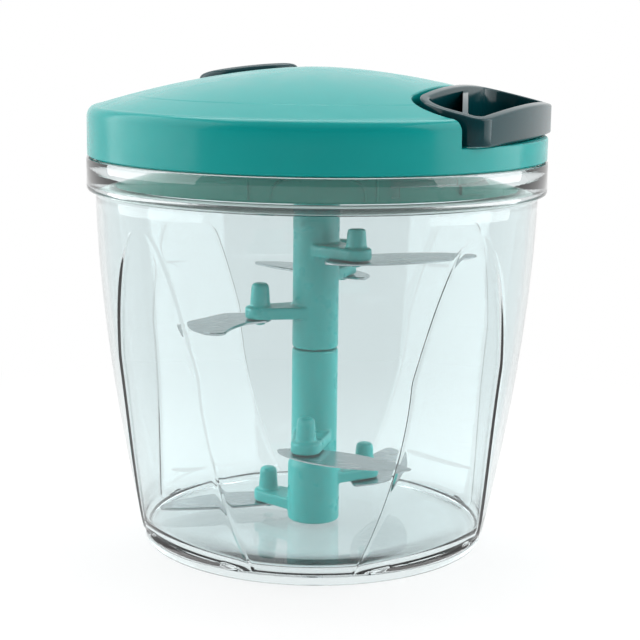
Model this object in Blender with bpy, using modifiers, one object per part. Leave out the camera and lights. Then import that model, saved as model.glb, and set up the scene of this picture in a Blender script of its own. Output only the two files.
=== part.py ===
"""Pull-cord food chopper: a clear bowl, a two-shell lid with a recoil spool and a ring handle,
and a rotor of two stacked sections that carries six blades.

Metres, +Z up. The origin is the centre of the bowl's underside, on the rotor's axis.
The front of the chopper faces -Y. The handle is pulled out along the bearing `pull_bearing`.
"""

import math

import bmesh
import bpy
import numpy as np
from mathutils import Matrix, Vector

mm = 0.001

# Clearances
touch_gap = 0.3 * mm
running_gap = 0.4 * mm
cut_past = 2.0 * mm

# The lid's rim, which the bowl and the handle are sized to
lid_radius = 65.0 * mm

# Bowl
collar_overhang = 0.3 * mm
collar_radius = lid_radius + collar_overhang
neck_inset = 2.5 * mm
neck_radius = collar_radius - neck_inset
foot_inset = 13.2 * mm
foot_radius = neck_radius - foot_inset
foot_height = 2.6 * mm
foot_edge = 0.9 * mm
foot_lip = 0.2 * mm
flare_power = 1.7
bowl_wall = 1.8 * mm
floor_thickness = 3.2 * mm
floor_fillet = 2.0 * mm
collar_bottom = 101.9 * mm
collar_height = 9.0 * mm
collar_edge = 0.4 * mm
collar_step = 2.2 * mm
facet_count = 4
facet_bearing = math.radians(-48)
facet_half_angle_foot = math.radians(31)
facet_half_angle_waist = math.radians(17)
facet_drop = 6.9 * mm
facet_top = collar_bottom - facet_drop
facet_curl = 0.56
round_segments = 60

# Rotor
rotor_radius = 6.7 * mm
rotor_root_radius = 7.6 * mm
root_height = 21.0 * mm
root_step = 1.0 * mm
rotor_floor_gap = 0.7 * mm
section_seam = 55.3 * mm
rotor_head_gap = 0.5 * mm
pivot_radius = 2.0 * mm
pivot_height = 20.0 * mm
pivot_sink = 1.8 * mm
spigot_radius = 4.2 * mm
spigot_length = 6.0 * mm
arm_reach = 16.5 * mm
arm_thickness = 3.4 * mm
arm_root_width = 12.0 * mm
arm_tip_radius = 4.3 * mm
peg_radius = 2.7 * mm
peg_height = 6.8 * mm
stake_radius = 1.3 * mm
stake_length = 2.1 * mm
blade_thickness = 0.8 * mm
blade_heel = 9.0 * mm

# Height of each arm's underside
upper_arm_1_height = 83.0 * mm
upper_arm_2_height = 75.0 * mm
upper_arm_3_height = 64.7 * mm
lower_arm_1_height = 28.2 * mm
lower_arm_2_height = 15.0 * mm
lower_arm_3_height = 6.4 * mm

# Reach of each blade past its peg, and its half widths to the cutting edge and to the back
blade_1_reach = 38.0 * mm
blade_1_edge = 8.4 * mm
blade_1_back = 11.0 * mm
blade_2_reach = 35.0 * mm
blade_2_edge = 9.6 * mm
blade_2_back = 3.6 * mm
blade_3_reach = 25.0 * mm
blade_3_edge = 13.6 * mm
blade_3_back = 5.4 * mm
blade_4_reach = 32.5 * mm
blade_4_edge = 8.0 * mm
blade_4_back = 6.6 * mm
blade_5_reach = 34.0 * mm
blade_5_edge = 10.2 * mm
blade_5_back = 5.0 * mm
blade_6_reach = 33.0 * mm
blade_6_edge = 10.2 * mm
blade_6_back = 3.6 * mm

# Each arm: bearing in degrees and height
upper_arms = ((-47, upper_arm_1_height), (62, upper_arm_2_height), (-165, upper_arm_3_height))
lower_arms = ((-98, lower_arm_1_height), (23, lower_arm_2_height), (146, lower_arm_3_height))
# Each blade: heading in degrees, reach, edge, back, and the power that its bow is raised to: a low
# power keeps the blade broad up to its tip. The hooked blade has none.
upper_blades = (
    (23, blade_1_reach, blade_1_edge, blade_1_back, 0.5),
    (140, blade_2_reach, blade_2_edge, blade_2_back, 0.5),
    (-125, blade_3_reach, blade_3_edge, blade_3_back, None),
)
lower_blades = (
    (-27, blade_4_reach, blade_4_edge, blade_4_back, 0.7),
    (74, blade_5_reach, blade_5_edge, blade_5_back, 0.6),
    (196, blade_6_reach, blade_6_edge, blade_6_back, 0.55),
)

# Lid shells
cover_wall = 2.2 * mm
cover_height = 24.9 * mm
shoulder_height = 10.8 * mm
shoulder_inset = 2.6 * mm
shoulder_rise = 3.2 * mm
crown_power = 1.75
skirt_wall = 2.0 * mm
skirt_drop = 6.8 * mm
base_plate_drop = 4.8 * mm
base_plate_thickness = 2.0 * mm
upstand_height = 2.0 * mm
seal_thickness = 1.5 * mm

# Bayonet
bayonet_count = 3
bayonet_bearing = math.radians(-73.3)
ramp_arc = math.radians(17)
ramp_depth = 0.9 * mm
ramp_height = 1.5 * mm
ramp_drop = 1.4 * mm
lug_arc = math.radians(9)
lug_height = 2.0 * mm
lug_drop = 3.4 * mm
lug_gap = math.radians(1.5)
stop_arc = math.radians(2)
stop_depth = 0.6 * mm
stop_root = 0.5 * mm

# Pull handle and its recess
pull_bearing = math.radians(-23)
pull_rise = 10.8 * mm
handle_apex = 28.5 * mm
handle_apex_radius = 9.0 * mm
handle_corner_inset = 6.8 * mm
handle_corner_reach = lid_radius - handle_corner_inset
handle_half_width = 35.7 * mm
handle_corner_radius = 5.0 * mm
handle_bulge = 3.1 * mm
handle_wall = 2.5 * mm
handle_seat = 6.8 * mm
handle_crown_drop = 3.7 * mm
handle_crown_radius = 350.0 * mm
partition_reach = 44.0 * mm
partition_wall = 2.6 * mm
recess_gap = 1.4 * mm
recess_wall = 2.0 * mm

# Recoil drive
axle_radius = 2.0 * mm
hex_radius = 4.4 * mm
hex_clearance = 0.6 * mm
coupler_play = 1.0 * mm
coupler_length = 10.6 * mm
coupler_collar_radius = 6.0 * mm
coupler_collar_height = 1.6 * mm
coupler_engagement = 4.0 * mm
drum_radius = 12.5 * mm
flange_radius = 21.5 * mm
flange_thickness = 1.4 * mm
groove_width = 6.4 * mm
hub_radius = 6.6 * mm
cup_radius = 23.2 * mm
cup_wall = 1.2 * mm
cup_floor = 1.0 * mm
spring_turns = 4.5
spring_strip = 0.5 * mm
spring_width = 7.0 * mm
cord_radius = 0.9 * mm
winding_depth = 4.6 * mm
winding_edge = 1.2 * mm
knot_radius = 2.3 * mm
guide_bore = 1.4 * mm
guide_wall = 1.1 * mm
guide_flange = 1.1 * mm
guide_lip = 0.9 * mm

# Fasteners
screw_bearings = (60, 140, 220, 300)
screw_inset = 15.0 * mm
screw_circle = lid_radius - screw_inset
screw_radius = 1.3 * mm
screw_length = 11.0 * mm
screw_head_radius = 3.0 * mm
screw_head_height = 1.3 * mm
boss_radius = 4.0 * mm
boss_drop = 7.2 * mm
washer_radius = 4.0 * mm
washer_thickness = 0.6 * mm
axle_screw_head = 1.8 * mm
axle_screw_radius = 0.9 * mm
axle_screw_length = 5.0 * mm
edge_break = 0.3 * mm

# Thumb pad
pad_place = (-20.0 * mm, 23.5 * mm)
pad_length = 28.0 * mm
pad_width = 17.0 * mm
pad_thickness = 2.5 * mm
pad_sink = 0.8 * mm

# Derived heights
floor_top = floor_thickness
collar_top = collar_bottom + collar_height
lid_bottom = collar_top + touch_gap
lid_top = lid_bottom + cover_height
pull_height = lid_bottom + pull_rise
handle_base = lid_bottom + handle_seat
handle_crown = lid_top - handle_crown_drop
collar_bore = collar_radius - bowl_wall
neck_bore = neck_radius - bowl_wall
ledge_height = collar_bottom + touch_gap
plate_bottom = lid_bottom - base_plate_drop
plate_top = plate_bottom + base_plate_thickness
skirt_bottom = lid_bottom - skirt_drop
skirt_radius = collar_bore - running_gap - ramp_depth
rotor_bottom = floor_top + rotor_floor_gap
rotor_top = plate_bottom - rotor_head_gap
coupler_top = plate_top + touch_gap + coupler_collar_height
coupler_bottom = plate_bottom - coupler_length + base_plate_thickness
socket_radius = hex_radius + hex_clearance
groove_bottom = pull_height - groove_width / 2
groove_top = pull_height + groove_width / 2
spool_bottom = groove_bottom - flange_thickness
spool_top = groove_top + flange_thickness
spool_hub_bottom = coupler_top + touch_gap
axle_bore = axle_radius + touch_gap
recess_floor = handle_base - touch_gap
cover_boss_bottom = spool_top + touch_gap
pull_axis = Vector((math.cos(pull_bearing), math.sin(pull_bearing), 0))


def new_collection(name):
    collection = bpy.data.collections.new(name)
    bpy.context.scene.collection.children.link(collection)
    return collection


def clear_scene():
    for obj in list(bpy.data.objects):
        bpy.data.objects.remove(obj, do_unlink=True)


def make_material(name, colour, roughness, metallic=0.0, alpha=1.0):
    material = bpy.data.materials.new(name)
    material.use_nodes = True
    shader = material.node_tree.nodes["Principled BSDF"]
    shader.inputs["Base Color"].default_value = (*colour, 1.0)
    shader.inputs["Roughness"].default_value = roughness
    shader.inputs["Metallic"].default_value = metallic
    shader.inputs["Alpha"].default_value = alpha
    return material


def add_object(name, data, material=None):
    obj = bpy.data.objects.new(name, data)
    if material is not None:
        data.materials.append(material)
        parts.objects.link(obj)
    else:
        obj.hide_render = True
        obj.display_type = "WIRE"
        cutters.objects.link(obj)
    return obj


def smooth(obj, angle=math.radians(35)):
    obj.data.shade_smooth()
    obj.data.set_sharp_from_angle(angle=angle)


def turned(name, profile, material=None, segments=48, closed=False):
    """A body of revolution about its own Z axis. The profile is (radius, height) pairs that run down
    the outer side; a closed profile makes a ring, an open one starts and ends on the axis."""
    data = bpy.data.meshes.new(name)
    points = [(radius, 0, height) for radius, height in profile]
    edges = [(i, i + 1) for i in range(len(points) - 1)]
    if closed:
        edges.append((len(points) - 1, 0))
    data.from_pydata(points, edges, [])
    obj = add_object(name, data, material)
    screw = obj.modifiers.new("Turn", "SCREW")
    screw.steps = segments
    screw.render_steps = segments
    screw.use_merge_vertices = True
    screw.merge_threshold = 0.00001
    screw.use_smooth_shade = True
    return obj


def prism(name, outlines, bottom, top, material=None):
    """A flat outline, with any holes, as a solid between two heights."""
    curve = bpy.data.curves.new(name, "CURVE")
    curve.dimensions = "2D"
    curve.fill_mode = "BOTH"
    curve.extrude = (top - bottom) / 2
    for outline in outlines:
        spline = curve.splines.new("POLY")
        spline.points.add(len(outline) - 1)
        for point, (x, y) in zip(spline.points, outline):
            point.co = (x, y, 0, 1)
        spline.use_cyclic_u = True
    guide = bpy.data.objects.new(name + "_guide", curve)
    cutters.objects.link(guide)
    bpy.context.view_layer.update()
    graph = bpy.context.evaluated_depsgraph_get()
    data = bpy.data.meshes.new_from_object(guide.evaluated_get(graph))
    data.name = name
    data.materials.clear()
    bpy.data.objects.remove(guide)
    body = bmesh.new()
    body.from_mesh(data)
    bmesh.ops.remove_doubles(body, verts=body.verts, dist=0.000001)
    bmesh.ops.translate(body, verts=body.verts, vec=(0, 0, (top + bottom) / 2))
    bmesh.ops.recalc_face_normals(body, faces=body.faces)
    body.to_mesh(data)
    body.free()
    return add_object(name, data, material)


def combine(target, other, operation):
    modifier = target.modifiers.new(operation.title(), "BOOLEAN")
    modifier.operation = operation
    modifier.solver = "EXACT"
    modifier.object = other


def cut(target, *others):
    for other in others:
        combine(target, other, "DIFFERENCE")


def join(target, *others):
    for other in others:
        combine(target, other, "UNION")


def place(obj, location, rotation=(0, 0, 0)):
    obj.location = location
    obj.rotation_euler = rotation
    return obj


def hang_on(obj, parent):
    """Parents an object and keeps where it stands in the world."""
    bpy.context.view_layer.update()
    obj.parent = parent
    obj.matrix_parent_inverse = parent.matrix_world.inverted()


def joint_empty(name, location):
    empty = bpy.data.objects.new(name, None)
    empty.empty_display_size = 0.01
    empty.location = location
    parts.objects.link(empty)
    bpy.context.view_layer.update()
    return empty


def on_bearing(bearing, radius, height=0.0):
    return Vector((radius * math.cos(bearing), radius * math.sin(bearing), height))


def arc_points(centre, radius, start, end, count):
    angles = np.linspace(start, end, count)
    return [(centre[0] + radius * math.cos(a), centre[1] + radius * math.sin(a)) for a in angles]


def bowl_radius(height):
    """The bowl's round outer radius, which flares from the foot to the neck."""
    below = np.clip(1 - height / collar_bottom, 0, 1)
    return neck_radius - (neck_radius - foot_radius) * below**flare_power


def facet_half_angle(height):
    """Half the angle that one facet spans: nothing at its arch top, wide at the foot."""
    down = np.clip((facet_top - height) / facet_top, 0, 1)
    arch = facet_half_angle_waist * np.minimum(1, (down / 0.4)) ** 0.5
    spread = (facet_half_angle_foot - facet_half_angle_waist) * np.clip((down - 0.4) / 0.6, 0, 1) ** 2
    return arch + spread


def bowl_section(height, inset, angles):
    """Radii of the faceted bowl at one height: the round wall, cut where a facet lies inside it."""
    radius = bowl_radius(height)
    half = facet_half_angle(height)
    step = 2 * math.pi / facet_count
    bearing = facet_bearing - math.pi / 2
    off = (angles - bearing + step / 2) % step - step / 2
    cut_radius = radius * np.cos(facet_curl * half) / np.cos(facet_curl * off)
    inside = np.abs(off) < half
    return np.where(inside, np.minimum(radius, cut_radius), radius) - inset


def make_bowl(material):
    """The clear bowl: a loft from a round foot through faceted sections to a round collar."""
    angles = np.arange(round_segments) * (2 * math.pi / round_segments)
    rings = []
    for radius, height in (
        (foot_radius - foot_edge, 0.0),
        (foot_radius - foot_edge * 0.3, foot_edge * 0.3),
        (foot_radius, foot_edge),
        (foot_radius + foot_lip, foot_height),
    ):
        rings.append((np.full_like(angles, radius), height))
    body_heights = np.linspace(foot_height + foot_edge, facet_top, 8)
    for height in body_heights:
        rings.append((bowl_section(height, 0.0, angles), height))
    for radius, height in (
        (neck_radius, collar_bottom - collar_step),
        (collar_radius - collar_edge, collar_bottom - collar_edge),
        (collar_radius, collar_bottom),
        (collar_radius, collar_top - collar_edge),
        (collar_radius - collar_edge, collar_top),
        (collar_bore, collar_top),
        (collar_bore, ledge_height),
        (neck_bore, ledge_height - collar_edge),
    ):
        rings.append((np.full_like(angles, radius), height))
    inner_heights = np.linspace(facet_top, floor_top + floor_fillet, 6)
    for height in inner_heights:
        rings.append((bowl_section(height, bowl_wall, angles), height))
    for turned_by in (math.pi / 4, math.pi / 2):
        height = floor_top + floor_fillet * (1 - math.sin(turned_by))
        inset = bowl_wall + floor_fillet * (1 - math.cos(turned_by))
        rings.append((bowl_section(height, inset, angles), height))

    shell = bmesh.new()
    loops = []
    for radii, height in rings:
        xy = np.stack([radii * np.cos(angles), radii * np.sin(angles)], axis=1)
        loops.append([shell.verts.new((x, y, height)) for x, y in xy])
    for lower, upper in zip(loops, loops[1:]):
        for i in range(round_segments):
            j = (i + 1) % round_segments
            shell.faces.new((lower[i], lower[j], upper[j], upper[i]))
    underside = shell.verts.new((0, 0, 0))
    floor_centre = shell.verts.new((0, 0, floor_top))
    for i in range(round_segments):
        j = (i + 1) % round_segments
        shell.faces.new((underside, loops[0][j], loops[0][i]))
        shell.faces.new((floor_centre, loops[-1][i], loops[-1][j]))
    bmesh.ops.recalc_face_normals(shell, faces=shell.faces)
    data = bpy.data.meshes.new("bowl")
    shell.to_mesh(data)
    shell.free()
    bowl = add_object("bowl", data, material)
    smooth(bowl)

    pin_socket = turned(
        "pin_socket",
        (
            (0, floor_top + cut_past),
            (pivot_radius + touch_gap, floor_top + cut_past),
            (pivot_radius + touch_gap, floor_top - pivot_sink - touch_gap),
            (0, floor_top - pivot_sink - touch_gap),
        ),
        segments=24,
    )
    cut(bowl, pin_socket)
    for k in range(bayonet_count):
        start = bayonet_bearing + k * 2 * math.pi / bayonet_count
        ramp_top = lid_bottom - ramp_drop
        ramp = ring_block(
            f"ramp_{k + 1}",
            (collar_bore - ramp_depth, collar_bore + bowl_wall / 2),
            (start, start + ramp_arc),
            (ramp_top - ramp_height, ramp_top),
        )
        stop = ring_block(
            f"ramp_stop_{k + 1}",
            (collar_bore - stop_depth, collar_bore + stop_root),
            (start + stop_arc / 4, start + stop_arc),
            (ramp_top - ramp_height - lug_height - touch_gap, ramp_top - ramp_height / 2),
        )
        join(ramp, stop)
        join(bowl, ramp)
    return bowl


def ring_block(name, radii, bearings, heights):
    """A block bent round the Z axis, between two radii, two bearings and two heights."""
    inner = arc_points((0, 0), radii[0], bearings[0], bearings[1], 6)
    outer = arc_points((0, 0), radii[1], bearings[1], bearings[0], 6)
    return prism(name, [inner + outer], heights[0], heights[1])


def cover_profile(inset, count=8):
    """Radius and height of the cover's outer side, from the crown's centre down to the rim's foot.
    The crown falls from its centre as a power of the radius; an inset gives the inner face."""
    shoulder = lid_bottom + shoulder_height
    edge_radius = lid_radius - shoulder_inset
    edge_height = shoulder + shoulder_rise
    points = []
    for radius in np.linspace(0, edge_radius, count):
        fall = (lid_top - edge_height) * (radius / edge_radius) ** crown_power
        points.append((max(0.0, radius - inset * radius / edge_radius), lid_top - fall - inset))
    for turn in (0.35, 0.7):
        angle = turn * math.pi / 2
        points.append((
            edge_radius + shoulder_inset * math.sin(angle) - inset,
            shoulder + shoulder_rise * math.cos(angle) - inset,
        ))
    points.append((lid_radius - inset, shoulder - inset))
    return points


def handle_outline(grow, apex_grow=0.0):
    """The handle's plan in its own axes, u outward along the pull and v across it: a rounded apex,
    straight flanks, round corners and a bulged outer side. `grow` offsets the whole outline."""
    apex = (handle_apex + handle_apex_radius, 0.0)
    corner = (handle_corner_reach - handle_corner_radius * 0.6, handle_half_width - handle_corner_radius)
    run = math.hypot(corner[0] - apex[0], corner[1])
    lean = math.atan2(corner[1], corner[0] - apex[0])
    flank = lean - math.asin((handle_apex_radius - handle_corner_radius) / run) + math.pi / 2
    side_radius = (handle_half_width**2 + handle_bulge**2) / (2 * handle_bulge)
    side_angle = math.asin((handle_half_width - handle_corner_radius) / (side_radius - handle_corner_radius))
    points = arc_points(corner, handle_corner_radius + grow, flank, side_angle, 6)
    side_centre = (corner[0] - (side_radius - handle_corner_radius) * math.cos(side_angle), 0.0)
    points += arc_points(side_centre, side_radius + grow, side_angle, -side_angle, 7)[1:-1]
    points += [(u, -v) for u, v in arc_points(corner, handle_corner_radius + grow, side_angle, flank, 6)]
    points += arc_points(apex, handle_apex_radius + grow + apex_grow, -flank, flank - 2 * math.pi, 9)
    return points


def recess_outline(grow):
    """The recess's plan: the handle's apex and flanks, offset, and open outward past the rim."""
    outline = handle_outline(grow, recess_gap)
    flank = handle_outline(grow)[0]
    nose = outline[-9]
    run = Vector((flank[0] - nose[0], -flank[1] - nose[1]))
    far = Vector(nose) + run * (lid_radius + 2 * cut_past - nose[0]) / run.x
    return [(far.x, -far.y), (far.x, far.y)] + outline[-9:]


def to_world(points):
    """Turns points from the handle's own axes to the world's."""
    c, s = math.cos(pull_bearing), math.sin(pull_bearing)
    return [(u * c - v * s, u * s + v * c) for u, v in points]


def split_outline(points, near, far):
    """The part of a convex outline whose u lies between two limits."""
    kept = []
    for (u0, v0), (u1, v1) in zip(points, points[1:] + points[:1]):
        if near <= u0 <= far:
            kept.append((u0, v0))
        for limit in (near, far):
            if (u0 - limit) * (u1 - limit) < 0:
                share = (limit - u0) / (u1 - u0)
                kept.append((limit, v0 + share * (v1 - v0)))
    centre = np.mean(kept, axis=0)
    return sorted(kept, key=lambda p: math.atan2(p[1] - centre[1], p[0] - centre[0]))


def make_cover(material):
    """The domed cover: a turned shell with a tray sunk in its edge for the handle, a boss for the
    axle, four screw bosses and a shallow seat for the thumb pad."""
    foot = [(lid_radius, lid_bottom), (0, lid_bottom)]
    cover = turned("lid_cover", cover_profile(0.0) + foot, material, segments=round_segments)
    below = lid_bottom - cut_past
    hollow = turned(
        "cover_hollow",
        cover_profile(cover_wall) + [(lid_radius - cover_wall, below), (0, below)],
        segments=round_segments,
    )
    tray = prism(
        "tray_block",
        [to_world(recess_outline(recess_gap + recess_wall))],
        recess_floor - recess_wall,
        lid_top + cut_past,
    )
    cut(hollow, tray)
    crown_underside = lid_top - cover_wall / 2
    axle_boss = turned(
        "axle_boss",
        (
            (0, crown_underside),
            (hub_radius, crown_underside),
            (hub_radius, cover_boss_bottom),
            (0, cover_boss_bottom),
        ),
        segments=32,
    )
    screw_bosses = []
    for k, bearing in enumerate(screw_bearings):
        spot = on_bearing(pull_bearing + math.radians(bearing), screw_circle)
        top = lid_top - cover_wall - boss_drop
        foot_of_boss = plate_top + touch_gap
        boss = turned(
            f"screw_boss_{k + 1}",
            ((0, top), (boss_radius, top), (boss_radius, foot_of_boss), (0, foot_of_boss)),
            segments=20,
        )
        place(boss, spot)
        screw_bosses.append(boss)
    cut(cover, hollow)
    join(cover, axle_boss, *screw_bosses)
    pocket = prism(
        "handle_pocket",
        [to_world(recess_outline(recess_gap))],
        recess_floor,
        lid_top + cut_past,
    )
    axle_hole_top = lid_top - cover_wall
    axle_hole = turned(
        "axle_hole",
        (
            (0, axle_hole_top),
            (axle_bore, axle_hole_top),
            (axle_bore, cover_boss_bottom - cut_past),
            (0, cover_boss_bottom - cut_past),
        ),
        segments=24,
    )
    cut(cover, pocket, axle_hole)
    for k, bearing in enumerate(screw_bearings):
        spot = on_bearing(pull_bearing + math.radians(bearing), screw_circle)
        bore = screw_radius + touch_gap
        top = plate_top + screw_length
        hole = turned(
            f"screw_hole_{k + 1}",
            ((0, top), (bore, top), (bore, plate_bottom), (0, plate_bottom)),
            segments=16,
        )
        place(hole, spot)
        cut(cover, hole)
    sleeve = guide_bore + guide_wall + touch_gap
    half = recess_wall / 2 + cut_past
    guide_hole = turned("guide_hole", ((0, half), (sleeve, half), (sleeve, -half), (0, -half)), segments=20)
    place(guide_hole, pull_axis * guide_seat() + Vector((0, 0, pull_height)), (0, math.pi / 2, pull_bearing))
    cut(cover, guide_hole)
    seat_outline = oval(pad_length / 2 + touch_gap, pad_width / 2 + touch_gap)
    seat = prism("pad_seat", [seat_outline], 0, pad_thickness + cut_past)
    set_on_crown(seat, -pad_sink)
    cut(cover, seat)
    return cover


def oval(half_length, half_width, count=36):
    angles = np.arange(count) * (2 * math.pi / count)
    return [(half_length * math.cos(a), half_width * math.sin(a)) for a in angles]


def set_on_crown(obj, lift):
    """Places an object's base on the crown at the pad's place, turned to the crown's slope."""
    radius = math.hypot(*pad_place)
    edge_radius = lid_radius - shoulder_inset
    drop = lid_top - lid_bottom - shoulder_height - shoulder_rise
    height = lid_top - drop * (radius / edge_radius) ** crown_power
    slope = math.atan(drop * crown_power / edge_radius * (radius / edge_radius) ** (crown_power - 1))
    outward = on_bearing(math.atan2(pad_place[1], pad_place[0]), math.sin(slope))
    normal = outward + Vector((0, 0, math.cos(slope)))
    across = Vector((1, 0, 0)) - normal * normal.x
    across.normalize()
    along = normal.cross(across)
    frame = Matrix((across, along, normal)).transposed().to_4x4()
    frame.translation = Vector((*pad_place, height)) + normal * lift
    obj.matrix_world = frame


def guide_seat():
    """Distance from the axis to the middle of the tray's apex wall."""
    return handle_apex - 2 * recess_gap - recess_wall / 2


def make_lid_base(material):
    """The lower shell: a plate, a skirt that plugs the bowl's mouth, an upstand that centres the
    cover, and three bayonet lugs."""
    inner = skirt_radius - skirt_wall
    bore = hex_radius + 2 * running_gap
    profile = (
        (skirt_radius, lid_bottom + upstand_height),
        (skirt_radius, skirt_bottom),
        (inner, skirt_bottom),
        (inner, plate_bottom),
        (bore, plate_bottom),
        (bore, plate_top),
        (inner, plate_top),
        (inner, lid_bottom + upstand_height),
    )
    base = turned("lid_base", profile, material, segments=round_segments, closed=True)
    for k in range(bayonet_count):
        start = bayonet_bearing + ramp_arc + lug_gap + k * 2 * math.pi / bayonet_count
        lug_top = lid_bottom - lug_drop
        lug = ring_block(
            f"lug_{k + 1}",
            (skirt_radius - skirt_wall / 2, skirt_radius + ramp_depth),
            (start, start + lug_arc),
            (lug_top - lug_height, lug_top),
        )
        join(base, lug)
    for k, bearing in enumerate(screw_bearings):
        spot = on_bearing(pull_bearing + math.radians(bearing), screw_circle)
        bore = screw_radius + touch_gap
        top = plate_top + cut_past
        bottom = plate_bottom - cut_past
        hole = turned(
            f"plate_hole_{k + 1}",
            ((0, top), (bore, top), (bore, bottom), (0, bottom)),
            segments=16,
        )
        place(hole, spot)
        cut(base, hole)
    return base


def make_seal(material):
    """A flat ring that lies on the bowl's ledge, under the lid's skirt."""
    inner = skirt_radius - skirt_wall
    outer = skirt_radius
    bottom = ledge_height + touch_gap
    top = bottom + seal_thickness
    profile = ((outer, top), (outer, bottom), (inner, bottom), (inner, top))
    return turned("seal_ring", profile, material, segments=round_segments, closed=True)


def make_handle(material):
    """The ring handle: a rounded triangle with a finger opening and a small pocket for the knot,
    its top cut to the crown's curve."""
    outer = handle_outline(0.0)
    inner = handle_outline(-handle_wall)
    pocket = split_outline(inner, 0.0, partition_reach - partition_wall / 2)
    finger = split_outline(inner, partition_reach + partition_wall / 2, 1.0)
    top = handle_crown + cut_past
    low = handle_base - cut_past
    handle = prism("pull_handle", [to_world(outer)], handle_base, top, material)
    pocket_cut = prism("knot_pocket", [to_world(pocket)], low, top + cut_past)
    finger_cut = prism("finger_opening", [to_world(finger)], low, top + cut_past)
    cut(handle, pocket_cut, finger_cut)
    radii = np.linspace(0, lid_radius * 1.25, 7)
    crown = [(r, handle_crown - r * r / (2 * handle_crown_radius)) for r in radii]
    crown += [(radii[-1], low), (0, low)]
    dome = turned("handle_crown", crown, segments=48)
    combine(handle, dome, "INTERSECT")
    bore = cord_radius + touch_gap
    half = handle_wall / 2 + cut_past
    hole = turned("cord_hole", ((0, half), (bore, half), (bore, -half), (0, -half)), segments=16)
    wall_middle = handle_apex + handle_wall / 2
    place(hole, pull_axis * wall_middle + Vector((0, 0, pull_height)), (0, math.pi / 2, pull_bearing))
    cut(handle, hole)
    return handle


def make_spool(material):
    """The spool: a drum between two flanges, and a hub that reaches down through the spring."""
    profile = (
        (flange_radius, spool_top),
        (flange_radius, groove_top),
        (drum_radius, groove_top),
        (drum_radius, groove_bottom),
        (flange_radius, groove_bottom),
        (flange_radius, spool_bottom),
        (hub_radius, spool_bottom),
        (hub_radius, spool_hub_bottom),
        (axle_bore, spool_hub_bottom),
        (axle_bore, spool_top),
    )
    spool = turned("spool", profile, material, segments=40, closed=True)
    socket_top = spool_hub_bottom + coupler_engagement + touch_gap
    socket = hexagon_prism("spool_socket", socket_radius, spool_hub_bottom - cut_past, socket_top)
    cut(spool, socket)
    return spool


def hexagon_prism(name, radius, bottom, top, material=None):
    corners = [(radius * math.cos(a), radius * math.sin(a)) for a in np.arange(6) * math.pi / 3]
    return prism(name, [corners], bottom, top, material)


def make_coupler(material):
    """The hexagonal drive: it hangs in the plate's hole by its collar, turns with the spool above
    and plugs into the rotor below."""
    top = spool_hub_bottom + coupler_engagement
    coupler = hexagon_prism("drive_coupler", hex_radius, coupler_bottom, top, material)
    collar = turned(
        "coupler_collar",
        (
            (0, coupler_top),
            (coupler_collar_radius, coupler_top),
            (coupler_collar_radius, coupler_top - coupler_collar_height),
            (0, coupler_top - coupler_collar_height),
        ),
        segments=24,
    )
    bore = turned(
        "coupler_bore",
        (
            (0, spool_top),
            (axle_bore, spool_top),
            (axle_bore, coupler_bottom - cut_past),
            (0, coupler_bottom - cut_past),
        ),
        segments=24,
    )
    join(coupler, collar)
    cut(coupler, bore)
    return coupler


def make_spring(material):
    """The recoil spring: a flat spiral strip between the hub and the cup's wall."""
    bottom = spool_bottom - touch_gap - spring_width
    inner = hub_radius + running_gap + spring_strip
    outer = cup_radius - cup_wall - running_gap - spring_strip
    count = int(spring_turns * 20) + 1
    turns = np.linspace(0, spring_turns * 2 * math.pi, count)
    radii = np.linspace(inner, outer, count)
    strip = bmesh.new()
    lower = [strip.verts.new((r * math.cos(a), r * math.sin(a), bottom)) for r, a in zip(radii, turns)]
    upper = [strip.verts.new((v.co.x, v.co.y, bottom + spring_width)) for v in lower]
    for i in range(count - 1):
        strip.faces.new((lower[i], lower[i + 1], upper[i + 1], upper[i]))
    data = bpy.data.meshes.new("recoil_spring")
    strip.to_mesh(data)
    strip.free()
    spring = add_object("recoil_spring", data, material)
    wall = spring.modifiers.new("Strip", "SOLIDIFY")
    wall.thickness = spring_strip
    wall.offset = 0
    return spring


def make_cup(material):
    """The cup that holds the spring's outer end."""
    bottom = plate_top + touch_gap
    top = spool_bottom - touch_gap
    floor = bottom + cup_floor
    bore = coupler_collar_radius + running_gap
    wall = cup_radius - cup_wall
    profile = (
        (cup_radius, top),
        (cup_radius, bottom),
        (bore, bottom),
        (bore, floor),
        (wall, floor),
        (wall, top),
    )
    return turned("spring_cup", profile, material, segments=48, closed=True)


def make_winding(material):
    """The cord's turns on the drum."""
    inner = drum_radius + touch_gap
    outer = inner + winding_depth
    bottom = groove_bottom + touch_gap
    top = groove_top - touch_gap
    profile = (
        (outer - winding_edge, top),
        (outer, top - winding_edge),
        (outer, bottom + winding_edge),
        (outer - winding_edge, bottom),
        (inner, bottom),
        (inner, top),
    )
    return turned("cord_winding", profile, material, segments=36, closed=True)


def cord_piece(name, start, end, material):
    """A straight stretch of cord."""
    curve = bpy.data.curves.new(name, "CURVE")
    curve.dimensions = "3D"
    curve.bevel_depth = cord_radius
    curve.bevel_resolution = 2
    curve.use_fill_caps = True
    spline = curve.splines.new("POLY")
    spline.points.add(1)
    spline.points[0].co = (*start, 1)
    spline.points[1].co = (*end, 1)
    return add_object(name, curve, material)


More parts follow.
